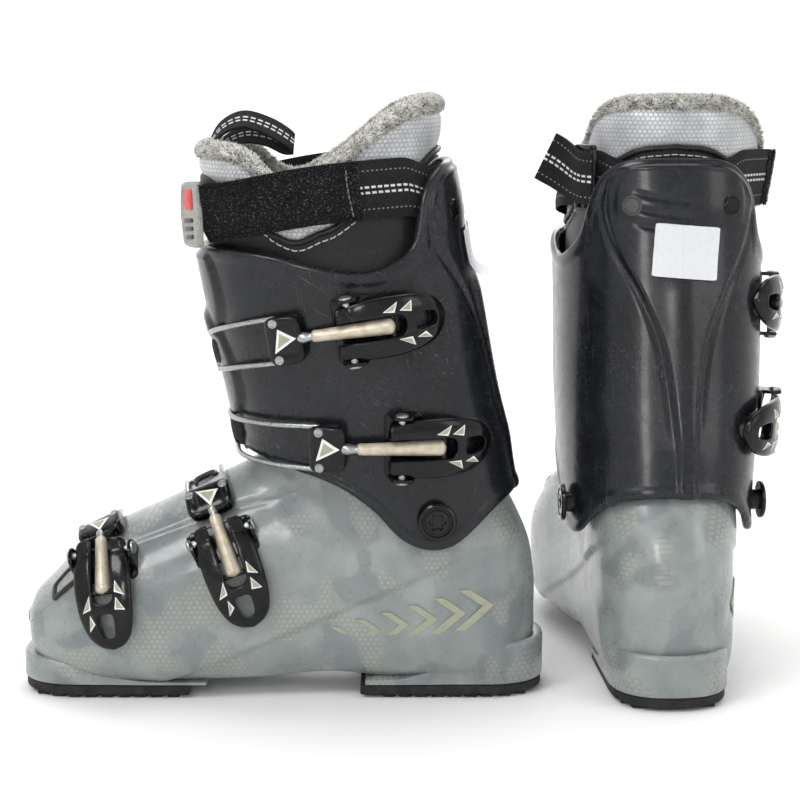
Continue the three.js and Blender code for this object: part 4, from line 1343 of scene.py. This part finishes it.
def strap_lock():
    """The strap's slider at the inner back corner: a frame with three bars, and the strap's doubled end."""
    angle = math.radians(-128)
    place = strap_frame(angle, angle, angle + 0.1, 6.2, 2.2)
    bars = [moved(pillow(4.2, 38, 3.6, 4, 12), x) for x in (-9, 0, 9)]
    bars += [moved(pillow(22, 3.6, 3.8, 4, 12), 0, y) for y in (-18.2, 18.2)]
    path = np.array([(-9, 0, 1.0), (-2, 0.5, 3.4), (6, 2, 3.6), (13, 5, 4.4), (20, 9, 7.0), (26, 13, 11.5)])
    path = place[0] + spline(path, 26) @ np.stack(place[1:])
    return in_frame(merge(*bars), place), *ribbon(path, np.tile(place[2], (26, 1)), END_WIDTH, 2.2)


# ---- buckles ----
# Angles are in degrees round the section: rack is the bail's hooked end, yoke the black block,
# pivot the lever's pin and tail the lever's end.
BUCKLE_KEYS = ("name", "on", "point", "u", "slope", "rack", "yoke", "pivot", "tail")
BUCKLES = [
    dict(zip(BUCKLE_KEYS, row))
    for row in (
        ("toe", "boots", shell_point, 3.95, 0.14, -26, 22, 47, 108),
        ("instep", "boots", shell_point, 6.7, 0.2, -22, 36, 60, 118),
        ("ankle", "cuff", cuff_point, 2.25, -0.01, 2, 76, 99, 151),
        ("shin", "cuff", cuff_point, 3.8, 0.13, 2, 69, 91, 145),
    )
]
LEVER_LENGTH = 56
LEVER_SLOT = 6.2
LEVER_BULGE = 6.5
LEVER_OVER = 3.9
LINK_AT = 23
PIN_HEIGHT = 9.5
TAIL_HEIGHT = 9.5
WIRE = 1.5
BLOCK_HEIGHT = 7.5
EYE = -4
BAIL_HALF_WIDTH = 12.6
BOW_HEIGHT = 5.2
EAR_OUT = 18.9


def stand_on(buckle, angle, height):
    """A frame over a buckle's surface: its point, then the ways along, across and out from the surface."""

    def at(a, lift=0.0):
        return buckle["point"](buckle["u"] + buckle["slope"] * (a - buckle["pivot"]) / 30 + lift, math.radians(a))

    point = at(angle)
    along = unit(at(angle + 1.5) - at(angle - 1.5))
    centre = (point[0] - 10, 0, 55) if buckle["on"] == "boots" else (115, 0, point[2])
    normal = facing(unit(np.cross(along, at(angle, 0.05) - point)), point - centre)
    return point + normal * height, along, unit(np.cross(normal, along)), normal


def lever_frame(buckle):
    pin, _, across, _ = stand_on(buckle, buckle["pivot"], PIN_HEIGHT)
    along = unit(stand_on(buckle, buckle["tail"], TAIL_HEIGHT)[0] - pin)
    normal = unit(np.cross(along, across))
    return pin, along, unit(np.cross(normal, along)), normal


def base_frame(buckle):
    pin, _, across, _ = lever_frame(buckle)
    normal = stand_on(buckle, buckle["pivot"], 0)[3]
    upright = unit(normal - across * (normal @ across))
    return pin, unit(np.cross(across, upright)), across, upright


def lever_rise(x):
    return np.maximum(0, 4 * LEVER_BULGE * x * (LEVER_LENGTH - x) / LEVER_LENGTH**2)


LEVER_SIDE = [
    (-7.5, 12.6), (-5.5, 14.4), (0, 15.6), (12, 16.9), (28, 16.6), (40, 15.0), (49, 11.6), (54, 6.6), (56, 0.8),
]


def lever_shape():
    """The lever: a domed body with a slot for the link between its two arms and a finger hole in its tail."""
    around = np.linspace(0, 2 * math.pi, 56, endpoint=False)
    y_share = signed_power(np.cos(around), 2 / 3.0)
    z_share = signed_power(np.sin(around), 2 / 2.6)
    rings = []
    for x, half_width in spline(LEVER_SIDE, 64):
        over = LEVER_OVER * min(1.0, 0.72 + 0.28 * smoothstep(x, -8, 4)) * (1 - 0.45 * smoothstep(x, 46, 56))
        z = lever_rise(x) + np.where(z_share > 0, over, 3.1) * z_share
        rings.append(np.stack([np.full(len(around), x), half_width * y_share, z], -1))
    through = [(-20, 0), (30, 0)]
    slot = plate(rounded_rectangle(-30, LINK_AT + 7, LEVER_SLOT, 5.4, 8), through)
    hole = plate(rounded([(35.5, -5.0), (49.5, -3.6), (49.5, 3.6), (35.5, 5.0)], 3.0, 40), through)
    body = boolean("DIFFERENCE", loft(rings), slot, hole)
    pin = tube([(LINK_AT, side * (LEVER_SLOT + 3), lever_rise(LINK_AT)) for side in (-1, 1)], 1.6, 12)
    return remeshed(merge(body, pin), 0.62, 4)


def crown_height(x, y):
    """The height of the lever's top over its frame."""
    side = spline(LEVER_SIDE, 200)
    share = np.clip(np.abs(y) / np.interp(x, side[:, 0], side[:, 1]), 0, 0.985)
    over = LEVER_OVER * (1 - 0.45 * smoothstep(x, 46, 56))
    return lever_rise(x) + over * (1 - share**3.0) ** (1 / 2.6)


# Plain triangles on the lever's crown: corner points in the lever's frame.
LEVER_PRINTS = [
    [(17, 8.6), (26, 13.2), (23.5, 7.6)],
    [(26.5, 8.2), (34.5, 12.6), (33.5, 6.6)],
    [(24, -7.4), (33.5, -12.6), (32, -7.4)],
    [(35, -8.4), (44.5, -10.4), (40.5, -6.2)],
]


PRINT_BORDER = 1.209


def lever_prints():
    """The pale triangles on the lever, and the darker ones inside them."""
    pale, dark = [], []
    for corners in np.array(LEVER_PRINTS, float):
        out = corners - corners.mean(0)
        inner = corners.mean(0) + out * (1 - PRINT_BORDER / np.linalg.norm(out, axis=1)[:, None])
        for made, triangle, proud in ((pale, corners, 0.2), (dark, inner, 0.32)):
            edges = [spline(edge, 14) for edge in triangle_edges(triangle, 6)]
            made.append(printed(*edges, 5, lambda x, y: crown_height(x, y) + proud, 0.6))
    return merge(*pale), merge(*dark)


def link_path(buckle):
    """The line of the link, from the lever's cross pin to the middle of the block."""
    pin, along, _, normal = lever_frame(buckle)
    start = pin + along * LINK_AT + normal * lever_rise(LINK_AT)
    end = stand_on(buckle, buckle["yoke"], BLOCK_HEIGHT)[0]
    middle = stand_on(buckle, (buckle["pivot"] + buckle["yoke"]) / 2, BLOCK_HEIGHT + 1)[0]
    return spline([start + unit(end - start) * 1.5, middle, end], 60)


def block_rise(x, y):
    """How far the block's top is over a flat one."""
    return 1.1 * smoothstep(np.abs(y), 6, 13) - 0.012 * x**2


def link_shapes(buckle):
    """The champagne sleeve, the steel rod with the block's eyelets, the black block, and its two prints."""
    path = link_path(buckle)
    cut = int(len(path) * 0.70)
    sleeve = tube(path[: cut + 1], 4.6 - 1.2 * smoothstep(np.linspace(0, 1, cut + 1), 0.0, 1.0), 20)
    rod_path = path[cut - 3 :]
    rod = tube(rod_path, 2.3 + 0.9 * bump(np.linspace(0, 1, len(rod_path)), 0.48, 0.22), 16)
    place = stand_on(buckle, buckle["yoke"], BLOCK_HEIGHT)
    points, faces = pillow(21, 27, 8, 5)
    x, y, z = points.T
    points[:, 2] = z - 0.012 * x**2 + 1.1 * smoothstep(np.abs(y), 6, 13) * (z - 0.012 * x**2 > 0)
    eyelet = revolve([(2.6, -1), (2.6, 0.5), (2.2, 0.9), (1.5, 0.9), (1.1, 0.4)], 20)
    eyelets = [in_frame(moved(eyelet, EYE, y, 4.1), place) for y in (-10.3, 10.3)]
    mark = np.array([(-6, -6.5), (7.5, 0.5), (-2, 7)])
    prints = []
    for scale, proud in ((1.0, 0.25), (0.62, 0.38)):
        edges = triangle_edges(mark.mean(0) + (mark - mark.mean(0)) * scale, 8)
        top = printed(*edges, 6, lambda x, y: 3.78 + block_rise(x, y) + proud, 0.8)
        prints.append(in_frame(top, place))
    return sleeve, merge(rod, *eyelets), in_frame((points, faces), place), *prints


def bail_shape(buckle):
    """The wire: from the block's eyelets along both sides to its bow at the rack."""
    origin, along, across, _ = stand_on(buckle, buckle["yoke"], BLOCK_HEIGHT)
    eye = origin + along * EYE
    heights = [6.6, 6, 5.4, 5, 4.6]

    def rail(side):
        points = [eye + across * side * 5, eye + across * side * (BAIL_HALF_WIDTH - 0.5)]
        for k, height in enumerate(heights):
            share = (k + 0.45) / (len(heights) - 0.55)
            angle = buckle["yoke"] + (buckle["rack"] - buckle["yoke"]) * share
            over, _, sideways, _ = stand_on(buckle, angle, height)
            points.append(over + sideways * side * (BAIL_HALF_WIDTH - 2 * share))
        return points

    end, _, sideways, _ = stand_on(buckle, buckle["rack"] - 4, BOW_HEIGHT)
    bow = [end + sideways * side * (BAIL_HALF_WIDTH - 3.6) for side in (1, 0, -1)]
    return tube(spline([*rail(1), *bow, *rail(-1)[::-1]], 150), WIRE, 14)


def rack_shape(buckle):
    """A ladder of teeth on a plate that follows the surface, with a hood past the bail's hook."""
    hook = buckle["rack"] - 4
    scale = np.linalg.norm(stand_on(buckle, hook + 1, 0)[0] - stand_on(buckle, hook - 1, 0)[0]) / 2
    around = np.linspace(0, 2 * math.pi, 28, endpoint=False)
    y_share, z_share = signed_power(np.cos(around), 0.5), signed_power(np.sin(around), 0.5)
    ladder, plate_rings = [], []
    for run in np.linspace(-19, 27, 116):
        origin, _, across, normal = stand_on(buckle, hook + run / scale, 0)
        ends = smoothstep(run, -19, -16.5) * (1 - smoothstep(run, 24, 27))
        hood = 4.4 * smoothstep(run, -3.4, -5.4) * smoothstep(run, -19.5, -9)
        tooth = max(0.0, 1 - ((run - 4.2) % 5.4) / 4.0) ** 0.8 if 4.2 <= run < 25 else 0
        bed = 2.0 * smoothstep(run, 3.4, 4.6)
        half_width = (8.0 + 3.6 * smoothstep(run, -3.4, -6) * smoothstep(run, -19.5, -10)) * (0.75 + 0.25 * ends)
        rise = 1.4 + hood + (bed + 2.4 * tooth) * ends
        z = np.where(z_share > 0, z_share * (0.2 + (rise - 0.2) * (0.3 + 0.7 * ends)), 3.0 * z_share)
        ladder.append(origin + np.outer(half_width * y_share, across) + np.outer(z, normal))
        z = np.where(z_share > 0, 1.5, 1.0) * z_share
        plate_rings.append(origin + np.outer(11 * (0.7 + 0.3 * ends) * y_share, across) + np.outer(z, normal))
    return merge(loft(ladder), loft(plate_rings))


def base_shapes(buckle):
    """The bracket under the lever: a foot on the shell, two ears outside the arms, and rivets."""
    place = base_frame(buckle)
    pieces = [plate(rounded_rectangle(-9, 13, EAR_OUT, 3.5, 6), [(-13.4, 0), (-9.6, 0), (-8.9, 0.5), (-8.6, 1.4)])]
    profile = rounded([(-7.5, -12.5), (9, -12.5), (6.2, 3.6), (-4.8, 3.6)], 3.2, 40)
    head = revolve([(2.0, -6.5), (2.0, -0.2), (3.7, -0.2), (3.6, 0.7), (2.7, 1.35), (0.5, 1.6)], 24)
    rivets = []
    for side in (-1, 1):
        rings = []
        for y, inset in ((EAR_OUT - 2.1, 0.4), (EAR_OUT - 1.7, 0), (EAR_OUT - 0.4, 0), (EAR_OUT, 0.4)):
            flat = outline_inset(profile, inset)
            rings.append(np.insert(flat, 1, side * y, axis=1))
        pieces.append(loft(rings))
        rivets.append(in_frame(head, ((0, side * EAR_OUT, 0), (1, 0, 0), (0, 0, 1), (0, side, 0))))
    return in_frame(merge(*pieces), place), in_frame(merge(*rivets), place)


# ---- details on the shell ----
def outer_side():
    """Points over the whole of the lower shell's outer side."""
    u = np.linspace(1, SHELL_TOP - 1, 300)[:, None]
    angle = np.radians(np.linspace(40, 178, 300))[None, :]
    return shell_point(u + 0 * angle, angle + 0 * u).reshape(-1, 3)


OUTER_SIDE = outer_side()


def side_height(x, z):
    """How far the lower shell's outer side reaches at x and z."""
    flat = []
    for px, pz in zip(np.ravel(x), np.ravel(z)):
        miss = (OUTER_SIDE[:, 0] - px) ** 2 + (OUTER_SIDE[:, 2] - pz) ** 2
        near = np.argpartition(miss, 6)[:6]
        weight = 1 / (miss[near] + 0.05)
        flat.append((weight * OUTER_SIDE[near, 1]).sum() / weight.sum())
    return np.array(flat).reshape(np.shape(x))


def chevrons():
    """A row of plain chevrons that grow towards the heel, on the shell's outer side."""
    shapes = []
    for k in range(6):
        size = 9 + 1.3 * k
        x, z = 116 - 15.5 * k, 38 + 3.4 * k
        tip = (x - 0.55 * size, z + 1.5)
        for end in ((x + 0.35 * size, z + 0.75 * size), (x + 0.5 * size, z - 0.8 * size)):
            edge = np.linspace(tip, end, 6)
            grid = between(spline(edge, 9), spline(edge + (5.2 + 0.3 * k, 0), 9), 5)
            y = side_height(grid[..., 0], grid[..., 1]) + 1.65
            shapes.append(plate_from_grid(np.stack([grid[..., 0], y, grid[..., 1]], -1), np.array([0, -0.9, 0])))
    return merge(*shapes)


def toe_trim():
    """A small dark frame round a pale window, on the outer side of the toe."""
    corners = np.array([(2.42, 62), (2.36, 44), (3.15, 34), (3.3, 54)])
    outline = rounded(corners * (20, 1), 2.2, 80) / (20, 1)
    centre = outline.mean(0)

    def ring(reach, stand):
        u, degrees = (centre + (outline - centre) * reach).T
        return shell_point(u, np.radians(degrees), -stand)

    section = ((1.0, -1.2), (1.0, 1.4), (0.93, 2.2), (0.78, 2.2), (0.72, 1.3), (0.72, -1.2))
    return loft([ring(*corner) for corner in section], cyclic=True), loft([ring(0.74, -1.0), ring(0.74, 0.9)])


# ---- assembly ----
def boot_rows():
    """A boot's pieces, as add_piece takes them after the side, and the lengths of its three sheets."""
    sole = soles()
    collar, collar_values, collar_outer, collar_inner = liner_leg()
    foot = liner_foot()
    foot_values = {"seam": np.full(len(foot[0]), -20.0), "surf": foot[0]}
    fur, fur_tones_and_top_light = fur_edge(collar_outer, collar_inner)
    strap, strap_values = power_strap()
    pile = hook_pile()
    loop, loop_values, loop_length = pull_loop()
    tab, panel, bars = pull_tab()
    lock, tail, tail_values, tail_length = strap_lock()
    inner_rivet, outer_rivet = strap_rivets()
    trim, window = toe_trim()
    piping = tube(collar_path(np.linspace(38, 322, 360), 0.2, 0.5)[0], 1.6, 12)
    seam_stitches = stitches(*collar_path(np.linspace(40, 320, 360), 4.6, 0.35))
    rows = [
        ("shell", lower_shell(), FROSTED, "boots", "clear_shell", ["lower_shell"], 50),
        ("toe_sole_tread", sole["toe_sole"], RUBBER, "boots", "sole_rubber", ["toe_sole"], 35),
        ("heel_sole_tread", sole["heel_sole"], RUBBER, "boots", "sole_rubber", ["heel_sole"], 35),
        ("outer_pivot_rivet", pivot_rivet(1), GLOSS, "boots", "black_gloss", ["outer_pivot"], 30),
        ("inner_pivot_rivet", pivot_rivet(-1), GLOSS, "boots", "black_gloss", ["inner_pivot"], 30),
        ("cuff_shell", cuff(), SMOKE, "cuff", "dark_shell", ["cuff"], 60),
        ("inner_strap_rivet", inner_rivet, DARK_TRIM, "cuff", "black_gloss", (), 30),
        ("outer_strap_rivet", outer_rivet, GLOSS, "cuff", "black_gloss", (), 30),
        ("label", None, LABEL, "cuff", "webbing"),
        ("liner_collar", collar, LINER, None, "liner", ["liner_leg"], 80, collar_values),
        ("liner_sock", foot, LINER, "boots", "liner", ["liner_foot"], 80, foot_values),
        ("fur_edge", fur, FUR, "cuff", "liner", (), 180, {"tone": fur_tones_and_top_light}),
        ("collar_piping", piping, PIPING, "cuff", "liner"),
        ("collar_stitches", seam_stitches, THREAD, "cuff", "liner"),
        ("strap", strap, WEBBING, "cuff", "webbing", ["power_strap"], 60, strap_values),
        ("strap_pile", pile, PILE, "cuff", "webbing", (), 60),
        ("strap_stitches", pile_stitches(), DARK_THREAD, "cuff", "webbing"),
        ("strap_slider", lock, GLOSS, "cuff", "black_gloss", (), 50),
        ("strap_end", tail, WEBBING, "cuff", "webbing", (), 60, tail_values),
        ("tongue_loop", loop, WEBBING, "cuff", "webbing", (), 60, loop_values),
        ("strap_tab", tab, TAB_GREY, "cuff", "webbing", (), 40),
        ("strap_tab_panel", panel, TAB_RED, "cuff", "webbing", (), 40),
        ("strap_tab_bars", bars, DARK_TRIM, "cuff", "webbing", (), 40),
        ("side_chevrons", chevrons(), KHAKI_PRINT, "boots", "sleeve"),
        ("toe_trim", trim, DARK_TRIM, "boots", "black_gloss"),
        ("toe_window", window, TAB_GREY, "boots", "clear_shell"),
    ]
    lever, prints = lever_shape(), lever_prints()
    for buckle in BUCKLES:
        rows += buckle_rows(buckle, lever, *prints)
    return rows, strap_length(strap), tail_length, loop_length


def buckle_rows(buckle, lever, pale, dark):
    """A buckle's pieces, as add_piece takes them after the side."""
    label = buckle["name"] + "_buckle"
    lever_body, link, bail = (f"{label}_{part}" for part in ("lever", "link", "bail"))
    place = lever_frame(buckle)
    sleeve, rod, block, block_print, block_fill = link_shapes(buckle)
    bracket, heads = base_shapes(buckle)
    rows = [
        ("handle", in_frame(lever, place), GLOSS, lever_body, "black_gloss", [lever_body], 70),
        ("print", in_frame(pale, place), WHITE_PRINT, lever_body, "wire"),
        ("print_fill", in_frame(dark, place), KHAKI_PRINT, lever_body, "sleeve"),
        ("sleeve", sleeve, CHAMPAGNE, link, "sleeve", [link]),
        ("rod", rod, WIRE_METAL, link, "wire"),
        ("block", block, GLOSS, link, "black_gloss"),
        ("block_print", block_print, WHITE_PRINT, link, "wire"),
        ("block_print_fill", block_fill, KHAKI_PRINT, link, "sleeve"),
        ("wire", bail_shape(buckle), WIRE_METAL, bail, "wire", [bail]),
        ("ladder", rack_shape(buckle), GLOSS, buckle["on"], "black_gloss", [label + "_rack"], 35),
        ("bracket", bracket, GLOSS, buckle["on"], "black_gloss", [label + "_base"], 35),
        ("rivets", heads, WIRE_METAL, buckle["on"], "wire", (), 35),
    ]
    return [(f"{label}_{name}", *rest) for name, *rest in rows]


def build():
    rows, strap_run, end_run, loop_run = boot_rows()
    for side, place in PLACES.items():
        made = {}
        for name, shape, *rest in rows:
            if name == "label":
                shape = cuff_label(LABEL_CURL[side])
            made[name] = add_piece(side, name, shape, *rest)
        liner, strap = made["liner_collar"], made["strap"]
        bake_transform(liner)
        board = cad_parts[f"{side}_boot_board"]
        board.data.materials.clear()
        board.data.materials.append(BOARD)


def strap_length(shape):
    """The strap's own length, round the middle of its outer face."""
    rings = shape[0].reshape(len(STRAP_AROUND), -1, 3)
    middle = rings.mean(1)
    return float(np.linalg.norm(np.diff(middle, axis=0, append=middle[:1]), axis=1).sum())


def add_stage():
    """A round floor that bends up into a wall all round."""
    reach, bend, height, sides = 3.4, 1.2, 4.0, 96
    profile = [(0.02, 0.0), (reach - bend, 0.0)]
    for turn in np.linspace(0, math.pi / 2, 17)[1:]:
        profile.append((reach - bend + bend * math.sin(turn), bend - bend * math.cos(turn)))
    profile.append((reach, height))
    points, faces = revolve(profile, sides)
    mesh = bpy.data.meshes.new("floor")
    mesh.from_pydata(points[:-1].tolist(), [], faces[:-sides])
    face_outwards(mesh)
    mesh.shade_smooth()
    floor = bpy.data.objects.new("floor", mesh)
    bpy.context.scene.collection.objects.link(floor)
    f = Finish("pale_floor", Roughness=0.85, Specular_Level=0.2)
    place = f.node("TexCoord", {}, "Object")
    tone = f.node("TexNoise", {"Vector": place, "Scale": 3.0, "Detail": 2.0})
    f.colour(f.tones(tone, (0.86, 0.86, 0.855), (0.88, 0.88, 0.875), 0.3))
    mesh.materials.append(f.material)


def add_light(name, position, size, power, target=(0, 0, 0.16)):
    data = bpy.data.lights.new(name, "AREA")
    data.shape = "RECTANGLE"
    data.size, data.size_y = size
    data.energy = power
    light = bpy.data.objects.new(name, data)
    light.location = position
    light.rotation_euler = (Vector(target) - Vector(position)).to_track_quat("-Z", "Y").to_euler()
    bpy.context.scene.collection.objects.link(light)


def add_camera_and_light():
    camera_data = bpy.data.cameras.new("camera")
    camera_data.sensor_width = 36
    camera_data.lens = 103.275
    camera_data.clip_start, camera_data.clip_end = 0.05, 50
    camera = bpy.data.objects.new("camera", camera_data)
    camera.location = (SHIFT.x * MM, -1.316 + SHIFT.y * MM, 0.390)
    camera.rotation_euler = (math.radians(90 - 9.5), 0, 0)
    bpy.context.scene.collection.objects.link(camera)
    bpy.context.scene.camera = camera

    world = bpy.data.worlds.new("studio")
    world.use_nodes = True
    world.node_tree.nodes["Background"].inputs["Color"].default_value = (1, 1, 1, 1)
    world.node_tree.nodes["Background"].inputs["Strength"].default_value = 0.15
    bpy.context.scene.world = world
    add_light("key", (-1.1, -1.5, 1.9), (1.0, 0.7), 23)
    add_light("fill", (1.7, -1.3, 1.0), (0.7, 1.2), 5.5)
    add_light("top", (0.0, 0.2, 2.1), (1.6, 1.0), 19)
    add_light("flash", (-0.3, -1.75, 0.75), (0.25, 0.5), 5)
    add_light("rim", (0.4, 1.6, 1.1), (1.0, 0.7), 6)
    for k, power in enumerate((62, 17, 14, 17)):
        way = Vector((math.sin(k * math.pi / 2), math.cos(k * math.pi / 2), 0))
        place, target = way * 1.3 + Vector((0, 0, 2.6)), way * 3.4 + Vector((0, 0, 1))
        add_light(f"wall_wash_{k}", place, (3.0, 0.6), power, target)
    bpy.context.scene.view_settings.view_transform = "Standard"


add_camera_and_light()
add_stage()
build()
